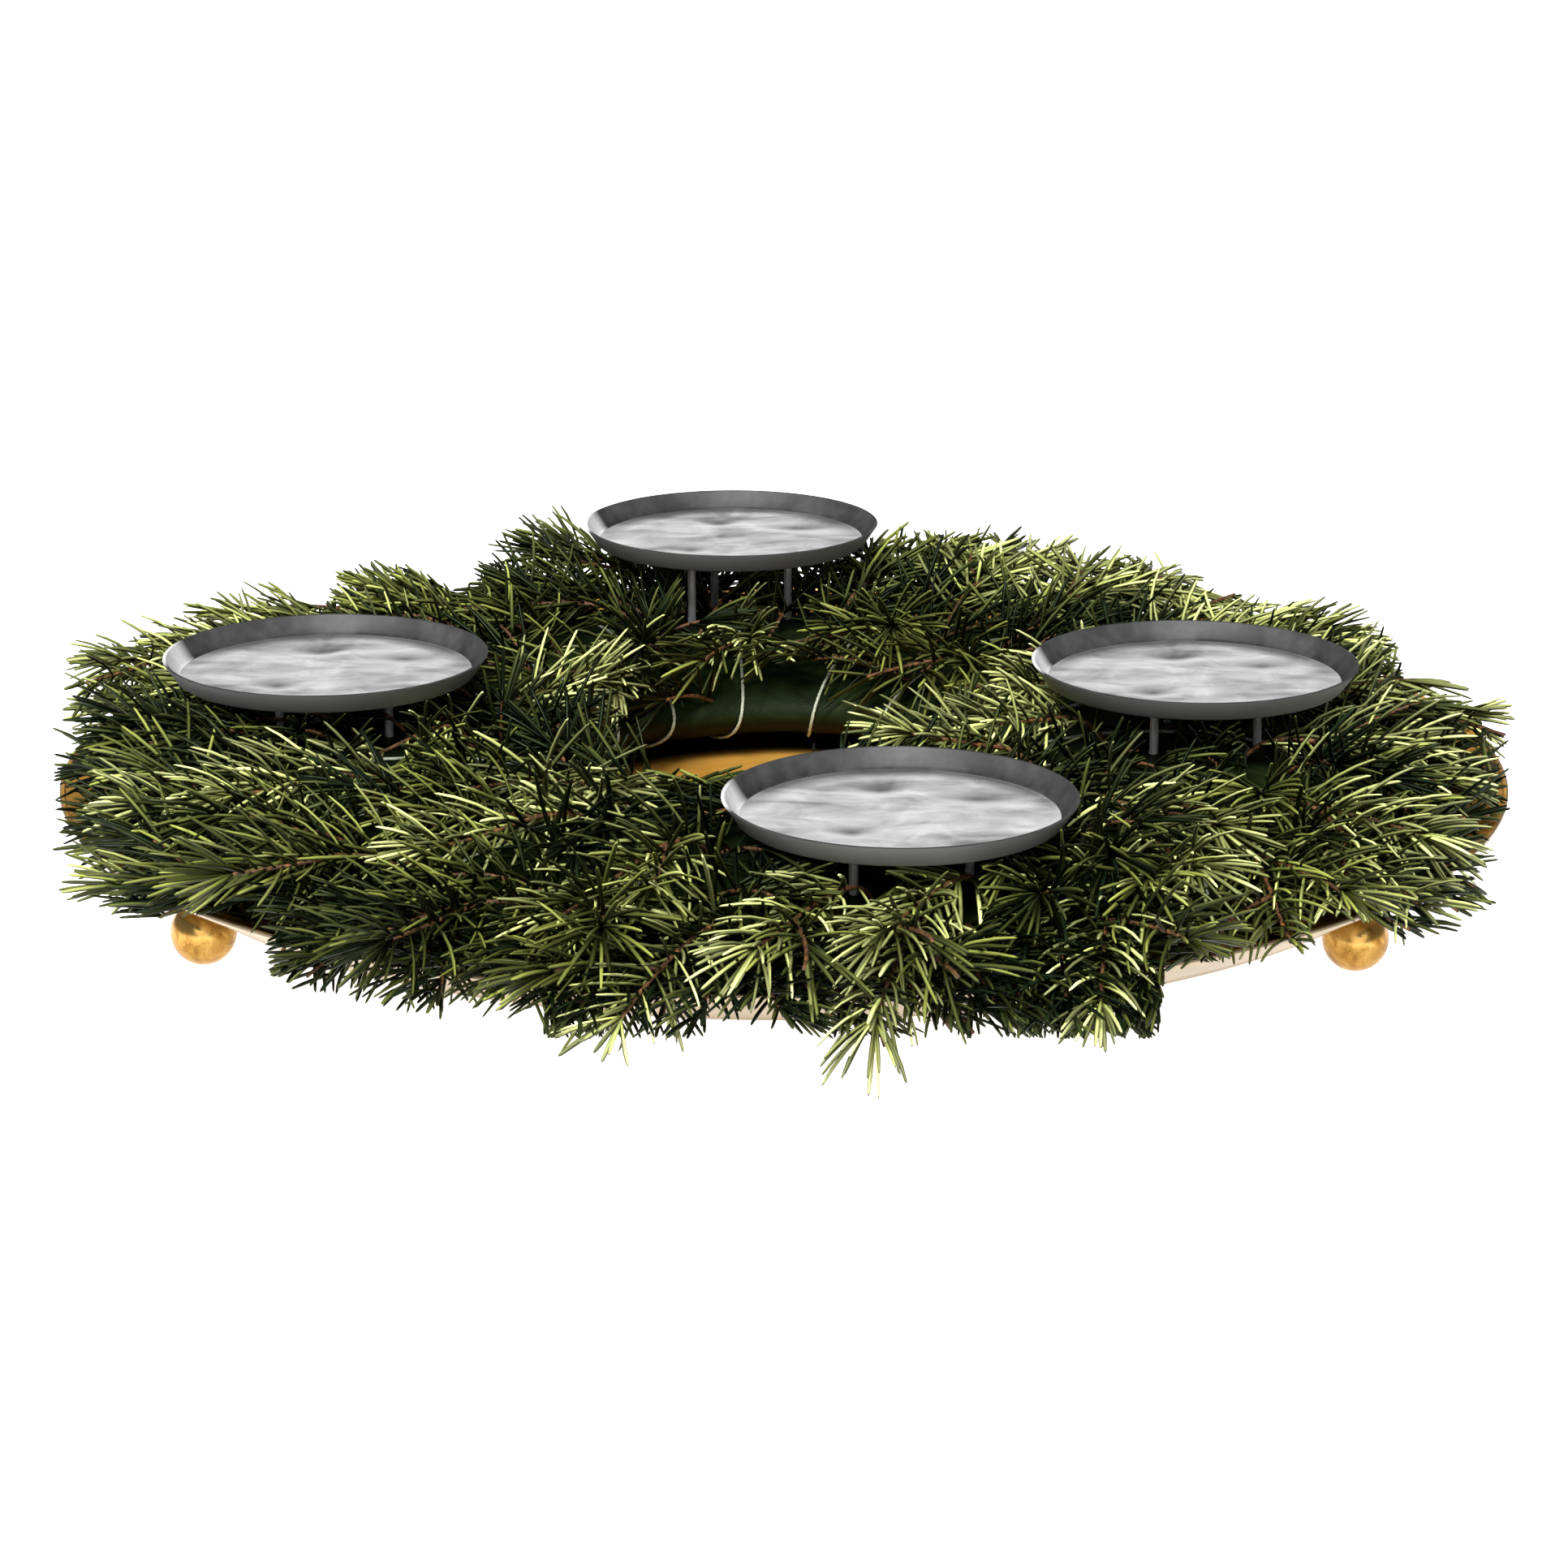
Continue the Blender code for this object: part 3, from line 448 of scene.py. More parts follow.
def between_turns(azimuth, place):
    """The azimuth nearest to a given one where a root stands clear of the thread's turns."""
    pitch = 360 / THREAD_TURNS
    past = (azimuth - THREAD_START - pitch * place / 360) % pitch
    return azimuth - past + min(max(past, ROOT_CLEARANCE), pitch - ROOT_CLEARANCE)


def stem_curve(row, lift, swing):
    """The end of a sprig's straight root and the four points of its bend."""
    _, root_azimuth, place, tip_azimuth, tip_radius, tip_height, slope = row[:7]
    surface, normal = on_ring(between_turns(root_azimuth, place), place)
    tip = around_wreath(tip_azimuth + swing, tip_radius * MM, tip_height * MM + lift)
    reach = (tip - surface).normalized()
    root_direction = (normal + 0.9 * reach).normalized()
    leave = surface + root_direction * STEM_OUT
    level = Vector((tip.x - leave.x, tip.y - leave.y, 0)).normalized()
    tip_direction = (level + Vector((0, 0, slope))).normalized()
    pull = (tip - leave).length / 3
    curve = [leave, leave + root_direction * pull, tip - tip_direction * pull, tip]
    return surface - root_direction * STEM_DEPTH, curve


def side_shoot(stem, place, length, angle, around):
    """Three points of a side shoot that leaves the stem at an angle and bends a little forward."""
    bend = stem[1:]
    position = place * (len(bend) - 1)
    k = min(int(position), len(bend) - 2)
    foot = bend[k].lerp(bend[k + 1], position - k)
    ahead = (bend[k + 1] - bend[k]).normalized()
    across, up = side_vectors(ahead)
    turn = math.radians(angle)
    level, raised = around
    direction = ahead * math.cos(turn) + (across * level + up * raised) * math.sin(turn)
    sideways = across * level + up * (raised if abs(level) < 1 else 0)
    tip_direction = ahead * math.cos(0.6 * turn) + sideways * math.sin(0.6 * turn)
    middle = foot + direction.normalized() * length / 2
    return [foot, middle, middle + tip_direction.normalized() * length / 2]


def lay_sprigs(neighbours):
    """Each sprig's name, tone, bend and side shoots, where the solids have them."""
    sprigs = []
    radii = (STEM_RADIUS, *STEM_RADII)
    for row in SPRIGS:
        for step in range(60):
            swing = (0, 1, -1, 2, -2)[step % 5] * STEM_SWING
            root, curve = stem_curve(row, STEM_LIFT * (step // 5), swing)
            stem = [root] + [bezier(curve, k / STEM_STEPS) for k in range(STEM_STEPS + 1)]
            if path_clear(stem, max(STEM_RADII), start=2) and neighbours.room(stem, radii) > STEM_CLEARANCE:
                break
        shoots = []
        for number in range(row[7]):
            length = SHOOT_LENGTH - number * SHOOT_SHORTER
            for angle in (SHOOT_ANGLE, SHOOT_ANGLE + 12, SHOOT_ANGLE - 12):
                around = (1 if number % 2 else -1, 0.12)
                shoot = side_shoot(stem, SHOOT_PLACES[number], length, angle, around)
                clear = path_clear(shoot, max(SHOOT_RADII))
                if clear and neighbours.room(shoot, SHOOT_RADII) > STEM_CLEARANCE:
                    shoots.append(shoot)
                    break
        neighbours.add(stem, radii)
        for shoot in shoots:
            neighbours.add(shoot, SHOOT_RADII)
        sprigs.append((row[0], row[8], stem, curve, shoots))
    return sprigs


def may_fill(shoot, pins, room=OUTLINE_ROOM):
    """Whether a filling shoot hides nothing that shows from the front and keeps in from the outline."""
    points = as_points(shoot)
    return bool(within_outline(points, room).all() and not in_front(points, pins).any())


def fill_sprigs(sprigs, neighbours, pins, rng):
    """One more side shoot on each sprig, wherever its own and its neighbours' leave the most room."""
    filled = {name: [] for name, *_ in sprigs}
    for name, _, stem, _, _ in sprigs:
        best = None
        for _ in range(TWIG_TRIES):
            raised = rng.uniform(-TWIG_RISE, TWIG_RISE)
            level = math.sqrt(1 - raised**2) * rng.choice((-1, 1))
            length = rng.uniform(*TWIG_LENGTHS) * MM
            place, angle = rng.uniform(*TWIG_PLACES), rng.uniform(*TWIG_ANGLES)
            shoot = side_shoot(stem, place, length, angle, (level, raised))
            if shoot[-1].z > TWIG_HIGHEST or not path_clear(shoot, 2 * BARK_RADIUS):
                continue
            room = neighbours.room(shoot[1:], [0, 0])
            if room > TWIG_ROOM and (best is None or room > best[0]) and may_fill(shoot, pins):
                best = (room, shoot)
        if best:
            filled[name].append((best[1], None, NEEDLES_PER_MM))
            neighbours.add(best[1], [BARK_RADIUS] * 3)
    return filled


def nearest_sprig(sprigs, foot):
    return min(sprigs, key=lambda sprig: (sprig[2][1] - foot).length)[0]


def hang_skirt(sprigs, filled, neighbours, pins, rng):
    """Dark shoots from the ring's outer side that lie over the tray's front wall; their darkness is painted
    shade.
    """
    for azimuth in SKIRT_AZIMUTHS:
        for _ in range(SKIRT_TRIES):
            root = azimuth + rng.uniform(-SKIRT_TURN, SKIRT_TURN)
            foot, normal = on_ring(root, rng.uniform(*SKIRT_PLACES))
            end = azimuth + rng.uniform(*SKIRT_SWINGS)
            reach = SKIRT_REACH[end > SKIRT_RIGHT] + rng.uniform(*SKIRT_UNEVEN) * MM
            tip = around_wreath(end, reach, rng.uniform(*SKIRT_HEIGHTS) * MM)
            over = foot.lerp(tip, 0.55) + Vector((0, 0, rng.uniform(*SKIRT_ARCHES) * MM))
            shoot = [foot - normal * ROOT_DEPTH, over, tip]
            if not path_clear(shoot[1:], BARK_RADIUS) or not may_fill(shoot, pins, SKIRT_OUTLINE_ROOM):
                continue
            if neighbours.room(shoot[1:], [0, 0]) < SKIRT_ROOM:
                continue
            # Painted shade: a dark share of the cover's tone
            tone = COVER_TONE * rng.uniform(*SKIRT_TONES)
            filled[nearest_sprig(sprigs, foot)].append((shoot, tone, SKIRT_NEEDLES_PER_MM))
            neighbours.add(shoot, [BARK_RADIUS] * 3)
            break


def cover_ring(sprigs, filled, neighbours, fixed, pins, rng):
    """Short low shoots rooted in the ring wherever it still lies bare, each with the sprig nearest to it."""
    for _ in range(COVER_TRIES):
        azimuth, place = rng.uniform(0, 360), rng.uniform(*COVER_PLACES)
        foot, normal = on_ring(azimuth, place)
        away = 180 if place > COVER_INWARD else 0
        angle = math.radians(azimuth + away + rng.uniform(-COVER_TURN, COVER_TURN))
        level = Vector((math.cos(angle), math.sin(angle), rng.uniform(*COVER_RISES)))
        half = rng.uniform(*COVER_HALVES) * MM
        middle = foot + (normal * COVER_LEAVE + level).normalized() * half
        shoot = [foot - normal * ROOT_DEPTH, middle, middle + level.normalized() * half]
        if shoot[-1].z > TWIG_HIGHEST or neighbours.room(shoot[1:], [0, 0]) < COVER_ROOM:
            continue
        if fixed.room(shoot, [0, 0, 0]) < BARK_RADIUS:
            continue
        if path_clear(shoot[1:], 2 * BARK_RADIUS) and may_fill(shoot, pins):
            # Painted shade: the low cover shoots get a dark tone
            tone = COVER_TONE * rng.uniform(*COVER_TONES)
            filled[nearest_sprig(sprigs, foot)].append((shoot, tone, NEEDLES_PER_MM))
            neighbours.add(shoot, [BARK_RADIUS] * 3)


# Meshes


def new_object(name, points, faces, materials, sharp=None, flip=False):
    """A smooth object; its edges can be sharp above an angle in degrees, and its faces turned over."""
    if flip:
        faces = [face[:1] + face[:0:-1] for face in faces]
    mesh = bpy.data.meshes.new(name)
    mesh.from_pydata([tuple(point) for point in points], [], faces)
    mesh.update()
    mesh.shade_smooth()
    if sharp:
        mesh.set_sharp_from_angle(angle=math.radians(sharp))
    obj = bpy.data.objects.new(name, mesh)
    bpy.context.scene.collection.objects.link(obj)
    for material in materials:
        mesh.materials.append(material)
    return obj


def resample(path, step):
    """A polyline's points at even steps, as an array, and how far along it each one lies."""
    points = as_points(path)
    lengths = np.concatenate([[0], np.cumsum(np.linalg.norm(np.diff(points, axis=0), axis=1))])
    places = np.linspace(0, lengths[-1], max(3, math.ceil(lengths[-1] / step) + 1))
    return np.stack([np.interp(places, lengths, points[:, i]) for i in range(3)], axis=1), places


def frames_along(points):
    """The direction at each point of a path, and two unit vectors at right angles to it."""
    ahead = np.gradient(points, axis=0)
    ahead /= np.linalg.norm(ahead, axis=1, keepdims=True)
    across = np.cross(ahead, (0, 0, 1))
    steep = np.linalg.norm(across, axis=1) < 0.01
    across[steep] = (1, 0, 0)
    across /= np.linalg.norm(across, axis=1, keepdims=True)
    return ahead, across, np.cross(across, ahead)


def band(low, high, count):
    """The faces between two rings of points, from the number where each ring starts."""
    return [(low + i, low + (i + 1) % count, high + (i + 1) % count, high + i) for i in range(count)]


def loop_faces(steps, sides):
    """The faces of a closed loop of rings."""
    return [face for k in range(steps) for face in band(k * sides, (k + 1) % steps * sides, sides)]


def circles(across, up, sides):
    """Unit vectors all round each place of a path, from two at right angles."""
    angles = np.arange(sides) * 2 * math.pi / sides
    return across[:, None] * np.cos(angles)[None, :, None] + up[:, None] * np.sin(angles)[None, :, None]


def tube(points, radii, sides):
    """Points and faces of a round tube with closed ends."""
    _, across, up = frames_along(points)
    made = points[:, None] + circles(across, up, sides) * radii[:, None, None]
    last = (len(points) - 1) * sides
    faces = [face for k in range(0, last, sides) for face in band(k, k + sides, sides)]
    return made.reshape(-1, 3), [*faces, tuple(reversed(range(sides))), tuple(range(last, last + sides))]


def unit(vectors):
    return vectors / np.maximum(np.linalg.norm(vectors, axis=-1, keepdims=True), 1e-12)


def needle_curves(points, places, bare, dense, draw):
    """Foot, directions, leans and length of the needles round one shoot, before any is tested for room."""
    total = places[-1]
    along = max(6, int((total - bare) / MM * dense))
    count = along + CROWN_NEEDLES
    place = bare + (total - bare) * (np.arange(along) + draw.uniform(0, 1, along)) / along
    place = np.concatenate([place, total - draw.uniform(0, CROWN_LENGTH, CROWN_NEEDLES) * MM])
    ahead, across, up = frames_along(points)
    foot, forward, side, rise = (
        np.stack([np.interp(place, places, part[:, i]) for i in range(3)], axis=1)
        for part in (points, ahead, across, up)
    )
    share = place / total
    turn = np.arange(count) * GOLDEN_ANGLE + draw.normal(0, 0.12, count)
    around = unit(side * np.cos(turn)[:, None] + rise * (0.70 * np.sin(turn) + 0.18)[:, None])
    lean = draw.uniform(*NEEDLE_LEANS) - LEAN_FALL * share**2 + draw.normal(0, 4, count)
    lean[along:] = draw.uniform(*CROWN_LEANS, CROWN_NEEDLES)
    lean = np.radians(lean)
    later = lean * (draw.uniform(*LATER_LEANS) + draw.normal(0, 0.05, count))
    length = NEEDLE_LENGTH * (0.84 + 0.18 * np.sin(math.pi * np.clip(share, 0, 1) ** 0.8))
    length *= draw.uniform(0.90, 1.06, count)
    return foot, forward, around, lean, later, length


def curve_points(foot, forward, around, lean, later, length, sag, places):
    """Points at the given places along curved needles, and the direction of each needle there."""
    first = forward * np.cos(lean)[:, None] + around * np.sin(lean)[:, None]
    second = forward * np.cos(later)[:, None] + around * np.sin(later)[:, None]
    second[:, 2] -= sag
    second = unit(second)
    middle = foot + first * (length * INNER_SHARE)[:, None]
    tip = middle + second * (length * OUTER_SHARE)[:, None]
    t = np.array(places)[None, :, None]
    a, b, c = foot[:, None], middle[:, None], tip[:, None]
    line = a * (1 - t) ** 2 + b * (2 * t * (1 - t)) + c * t**2
    return line, unit((b - a) * (1 - t) + (c - b) * t)


def grow(points, places, bare, tone, dense, lowest, draw, pins):
    """The needles of one shoot: the points of their sections, and how light and how lucky each is."""
    foot, forward, around, lean, later, length = needle_curves(points, places, bare, dense, draw)
    count = len(foot)
    sag = draw.uniform(*SAGS) + draw.uniform(0.0, 0.10, count)
    uneven = draw.uniform(0, 1, count)[:, None]
    less = abs(draw.normal(0, RAGGED)) + uneven**2 * 5 * MM
    keep = np.zeros(count, bool)
    for _ in range(NEEDLE_TRIES):
        line, _ = curve_points(foot, forward, around, lean, later, length, sag, TEST_PLACES)
        good = clear_of_body(line, NEEDLE_HALF_WIDTH + 0.1 * MM, less).all(axis=1)
        good &= ~in_front(line, pins, uneven * HOLE_RAGGED).any(axis=1)
        good &= within_outline(line, less, lowest).all(axis=1)
        for _, top, _, _ in pins:
            near = np.hypot(line[..., 0] - top.x, line[..., 1] - top.y) < PIN_RADIUS + NEEDLE_HALF_WIDTH
            good &= ~(near & (line[..., 2] < top.z)).any(axis=1)
        keep |= good
        bad = ~keep
        if not bad.any():
            break
        change = draw.normal(0, 0.5, count)
        turned_side = np.cross(forward, around)
        new = unit(around * np.cos(change)[:, None] + turned_side * np.sin(change)[:, None])
        around = np.where(bad[:, None], new, around)
        length = np.where(bad, length * SHRINK, length)
        lean = np.where(bad, lean * SHRINK, lean)
    kept = [part[keep] for part in (foot, forward, around, lean, later, length, sag)]
    foot, forward, around = kept[:3]
    line, direction = curve_points(*kept, (*SECTIONS, 1.0))
    count = len(foot)
    twist = draw.normal(0, 0.3, count)[:, None, None]
    side = unit(np.cross(forward, around))[:, None]
    flat = unit(np.cross(direction, side))
    side = unit(np.cross(flat, direction))
    width = side * np.cos(twist) + flat * np.sin(twist)
    height = flat * np.cos(twist) - side * np.sin(twist)
    slim = draw.uniform(0.85, 1.15, count)[:, None, None]
    sizes = np.array(SECTION_SIZES)[None, :, None] * slim
    centre, width, height = line[:, :-1], width[:, :-1] * sizes, height[:, :-1] * sizes
    wide, high = width * NEEDLE_HALF_WIDTH, height * NEEDLE_HALF_HEIGHT
    corners = np.stack([centre + wide, centre + high, centre - wide, centre - high], axis=2)
    made = np.concatenate([corners.reshape(count, -1, 3), line[:, -1:]], axis=1)
    lot = draw.uniform(0, 1, count)
    light = np.clip(tone + draw.normal(0, 0.10, count), 0, 1)
    return made, light, lot


def needle_faces():
    """The faces of one needle: four-sided sections, a pointed tip and a closed foot."""
    last = 4 * (len(SECTIONS) - 1)
    faces = [face for k in range(0, last, 4) for face in band(k, k + 4, 4)]
    return [*faces, *((last + i, last + (i + 1) % 4, last + 4) for i in range(4)), (3, 2, 1, 0)]


NEEDLE_FACES = needle_faces()
NEEDLE_POINTS = 4 * len(SECTIONS) + 1


def sprig_piece(name, tone, stem, curve, shoots, draw, pins, materials):
    """One sprig's bark and needles as one mesh, with the numbers that the needles' colour reads."""
    bend = [bezier(curve, k / CURVE_STEPS) for k in range(CURVE_STEPS + 1)]
    path = resample([stem[0], *bend], PATH_STEP)
    limbs = [(*path, BARK_RADIUS, STEM_DEPTH + STEM_OUT + BARE, tone, NEEDLES_PER_MM)]
    for shoot, shoot_tone, dense in shoots:
        near = min(bend, key=lambda point: (point - shoot[0]).length)
        foot = near if (near - shoot[0]).length < BARE else shoot[0]
        pulled = [foot, foot + (shoot[1] - foot) * SHOOT_PULL, shoot[2]]
        bent = [bezier(pulled, k / SHOOT_CURVE_STEPS) for k in range(SHOOT_CURVE_STEPS + 1)]
        limbs.append((*resample(bent, PATH_STEP), BARK_RADIUS * SHOOT_BARK, BARE, shoot_tone, dense))
    all_points, all_faces, numbers = [], [], {"along": [], "light": [], "lot": []}
    base = 0
    for points, places, radius, *_ in limbs:
        radii = radius + (TIP_RADIUS - radius) * places / places[-1]
        made, faces = tube(points, radii, BARK_SIDES)
        all_points.append(made)
        all_faces += [tuple(base + i for i in face) for face in faces]
        base += len(made)
    for part in numbers.values():
        part.append(np.zeros(base))
    bark_faces = len(all_faces)
    for points, places, _, bare, limb_tone, dense in limbs:
        lowest = DARK_LOWEST if limb_tone < DARK else -HALF_LENGTH
        limb_tone = np.clip(limb_tone + draw.normal(0, 0.08), 0, 1)
        needles, light, lot = grow(points, places, bare, limb_tone, dense, lowest, draw, pins)
        all_points.append(needles.reshape(-1, 3))
        for start in range(base, base + len(needles) * NEEDLE_POINTS, NEEDLE_POINTS):
            all_faces += [tuple(start + i for i in face) for face in NEEDLE_FACES]
        base += len(needles) * NEEDLE_POINTS
        numbers["along"].append(np.tile([*np.repeat(SECTIONS, 4), 1.0], len(needles)))
        numbers["light"].append(np.repeat(light, NEEDLE_POINTS))
        numbers["lot"].append(np.repeat(lot, NEEDLE_POINTS))
    obj = new_object("fir_" + name, np.concatenate(all_points), all_faces, materials)
    slots = np.ones(len(all_faces), np.int32)
    slots[:bark_faces] = 0
    obj.data.polygons.foreach_set("material_index", slots)
    for label, parts in numbers.items():
        values = np.concatenate(parts).astype(np.float32)
        obj.data.attributes.new(label, "FLOAT", "POINT").data.foreach_set("value", values)
    return obj


def revolve(name, profile, segments, materials, centre, bands=None, shift=lambda x, y: 0):
    """A closed turned piece from (radius, height) points that run from its underside out, up and in."""
    points, faces = [], []
    for radius, height in profile:
        for i in range(segments):
            angle = 2 * math.pi * i / segments
            x, y = radius * math.cos(angle), radius * math.sin(angle)
            points.append((x, y, height + shift(x, y)))
    last = (len(profile) - 1) * segments
    for low in range(0, last, segments):
        faces += band(low, low + segments, segments)
    faces += [tuple(reversed(range(segments))), tuple(range(last, last + segments))]
    obj = new_object(name, points, faces, materials, SHARP)
    if bands:
        slots = np.array([*np.repeat(bands[: len(profile) - 1], segments), 0, bands[-1]], np.int32)
        obj.data.polygons.foreach_set("material_index", slots)
    obj.location = (*centre, 0)
    return obj


# Materials


class Nodes:
    """Short ways to add shader nodes to one new material or world."""

    def __init__(self, name, kind=bpy.data.materials, shader="Principled BSDF"):
        self.owner = kind.new(name)
        self.owner.use_nodes = True
        self.tree = self.owner.node_tree
        self.shader = self.tree.nodes[shader]
        self.coordinates = self.add("ShaderNodeTexCoord").outputs
        self.place = self.coordinates["Object"]

    def add(self, kind, **settings):
        node = self.tree.nodes.new(kind)
        for key, value in settings.items():
            setattr(node, key, value)
        return node

    def feed(self, socket, source):
        if isinstance(source, (int, float, tuple)):
            socket.default_value = source
        else:
            self.tree.links.new(source, socket)

    def feed_all(self, node, **sources):
        for label, source in sources.items():
            self.feed(node.inputs[label.replace("_", " ")], source)

    def parts(self, vector):
        node = self.add("ShaderNodeSeparateXYZ")
        self.feed(node.inputs[0], vector)
        return tuple(node.outputs)

    def upward(self):
        """How far the surface faces up, from -1 to 1."""
        return self.parts(self.coordinates["Normal"])[2]

    def math(self, operation, a, b=0.0):
        node = self.add("ShaderNodeMath", operation=operation)
        self.feed(node.inputs[0], a)
        self.feed(node.inputs[1], b)
        return node.outputs[0]

    def times(self, a, b):
        return self.math("MULTIPLY", a, b)

    def plus(self, a, b):
        return self.math("ADD", a, b)

    def length(self, x, y):
        return self.math("SQRT", self.plus(self.times(x, x), self.times(y, y)))

    def noise(self, scale, detail=3.0, roughness=0.5, vector=None, distortion=0.0):
        node = self.add("ShaderNodeTexNoise")
        self.feed_all(node, Scale=scale, Detail=detail, Roughness=roughness, Distortion=distortion)
        self.feed_all(node, Vector=vector or self.place)
        return node.outputs["Fac"]

    def stretched(self, scale):
        node = self.add("ShaderNodeVectorMath", operation="MULTIPLY")
        self.feed(node.inputs[0], self.place)
        self.feed(node.inputs[1], scale)
        return node.outputs[0]

    def ramp(self, factor, *stops):
        node = self.add("ShaderNodeValToRGB")
        elements = node.color_ramp.elements
        while len(elements) < len(stops):
            elements.new(0.5)
        for element, (position, colour) in zip(elements, stops):
            element.position = position
            element.color = (*colour, 1)
        self.feed(node.inputs["Fac"], factor)
        return node.outputs["Color"]

    def mix(self, factor, a, b, blend="MIX"):
        node = self.add("ShaderNodeMix", data_type="RGBA", blend_type=blend)
        self.feed(node.inputs["Factor"], factor)
        for socket, source in ((node.inputs[6], a), (node.inputs[7], b)):
            self.feed(socket, (*source, 1) if isinstance(source, tuple) else source)
        return node.outputs[2]

    def span(self, factor, low, high, start=0.0, end=1.0):
        """A number that runs from low to high while the factor runs from start to end."""
        node = self.add("ShaderNodeMapRange")
        for socket, source in zip(node.inputs, (factor, start, end, low, high)):
            self.feed(socket, source)
        return node.outputs["Result"]

    def attribute(self, name):
        return self.add("ShaderNodeAttribute", attribute_name=name).outputs["Fac"]

    def radius(self):
        """The distance from the object's own axis, the angle about it and the height."""
        x, y, z = self.parts(self.place)
        return self.length(x, y), self.math("ARCTAN2", y, x), z

    def bump(self, height, strength, distance):
        node = self.add("ShaderNodeBump")
        self.feed_all(node, Height=height, Strength=strength, Distance=distance)
        self.feed_all(self.shader, Normal=node.outputs["Normal"])

    def finish(self, colour, roughness, metallic=0.0, **more):
        self.feed_all(self.shader, Base_Color=colour, Roughness=roughness, Metallic=metallic, **more)
        return self.owner


def needle_material():
    n = Nodes("fir_needles")
    light, along, lot = n.attribute("light"), n.attribute("along"), n.attribute("lot")
    # The tone carries painted shade: the low tones of the shoots that lie beneath the others turn near black
    body = n.ramp(
        light,
        (0.0, (0.002, 0.004, 0.002)),
        (0.35, (0.006, 0.010, 0.003)),
        (0.65, (0.062, 0.076, 0.013)),
        (1.0, (0.185, 0.210, 0.046)),
    )
    dark, middle, pale = (0.003, 0.006, 0.002), (0.172, 0.192, 0.038), (0.45, 0.48, 0.20)
    tips = n.ramp(light, (0.0, dark), (0.6, middle), (1.0, pale))
    colour = n.mix(n.span(along, 0.05, 0.85, 0.10, 0.95), body, tips)
    colour = n.mix(n.span(along, 0.55, 0.0, 0.0, 0.16), colour, (0.008, 0.008, 0.003))
    few_bright = n.span(n.math("POWER", lot, 2.2), 0.28, 2.3)
    # Painted light: needles that face up are made lighter and those that face down darker, times a random
    # brightness for each needle
    tone_and_painted_light = n.times(few_bright, n.span(n.upward(), 0.08, 1.60, -0.4, 0.9))
    colour = n.mix(1.0, colour, tone_and_painted_light, "MULTIPLY")
    n.bump(n.noise(1600, 2), 0.12, 0.0002)
    tint = (0.75, 0.95, 0.55, 1)
    return n.finish(colour, n.span(lot, 0.34, 0.50), Specular_IOR_Level=0.20, Specular_Tint=tint)


def bark_material():
    n = Nodes("fir_bark")
    grain = n.noise(700, 4, 0.6)
    dark, middle, light = (0.018, 0.008, 0.003), (0.085, 0.034, 0.009), (0.320, 0.130, 0.030)
    colour = n.ramp(grain, (0.28, dark), (0.52, middle), (0.76, light))
    n.bump(n.noise(1100, 3), 0.6, 0.0004)
    return n.finish(colour, n.span(grain, 0.55, 0.8))


def film_material():
    """Dark green film, with painted shade that turns its underside black."""
    n = Nodes("green_film")
    patch = n.noise(60, 4, 0.6, distortion=0.6)
    dark, middle, light = (0.002, 0.004, 0.001), (0.007, 0.013, 0.003), (0.020, 0.031, 0.007)
    colour = n.ramp(patch, (0.30, dark), (0.55, middle), (0.8, light))
    # Painted shade: faces that turn down go black
    colour = n.mix(n.span(n.upward(), 0.95, 0.0, -0.9, -0.2), colour, (0.001, 0.001, 0.001))
    n.bump(n.noise(240, 5, 0.65, distortion=1.5), 0.5, 0.0008)
    return n.finish(colour, n.span(patch, 0.50, 0.64), Specular_IOR_Level=0.07)


def thread_material():
    n = Nodes("thread")
    strand = n.noise(2600, 3)
    colour = n.ramp(strand, (0.3, (0.15, 0.17, 0.11)), (0.6, (0.42, 0.46, 0.35)), (0.8, (0.62, 0.64, 0.52)))
    n.bump(strand, 0.5, 0.0003)
    return n.finish(colour, 0.62)


def sheet_material(name, low, high, rough, metallic, shaded=False):
    """Satin sheet metal, brushed round its axis, with faint smudges, and painted shade beneath the wreath
    base.
    """
    n = Nodes(name)
    radius, angle, height = n.radius()
    rings = n.add("ShaderNodeCombineXYZ")
    n.feed_all(rings, X=n.times(radius, BRUSHED), Y=n.times(angle, 1.2), Z=n.times(height, BRUSHED))
    brushed = n.noise(1.0, 3, 0.6, rings.outputs[0])
    smudge = n.noise(35, 4, 0.55, distortion=0.4)
    factor = n.plus(n.times(brushed, 0.45), n.times(smudge, 0.55))
    colour = n.mix(n.span(factor, 0.0, 1.0, 0.35, 0.65), low, high)
    # Painted shade: where shaded, the floor beneath the ring turns near black
    if shaded:
        x, y, _ = n.parts(n.place)
        away = n.length(x, n.math("SUBTRACT", y, SHADE_MIDDLE))
        inner, inner_end, outer, outer_end = SHADE
        beneath = n.times(n.span(away, 0.0, 1.0, inner, inner_end), n.span(away, 1.0, 0.0, outer, outer_end))
        colour = n.mix(beneath, colour, (0.006, 0.004, 0.001))
    n.bump(brushed, 0.25, 0.0001)
    return n.finish(colour, n.span(factor, *rough, 0.3, 0.7), metallic)


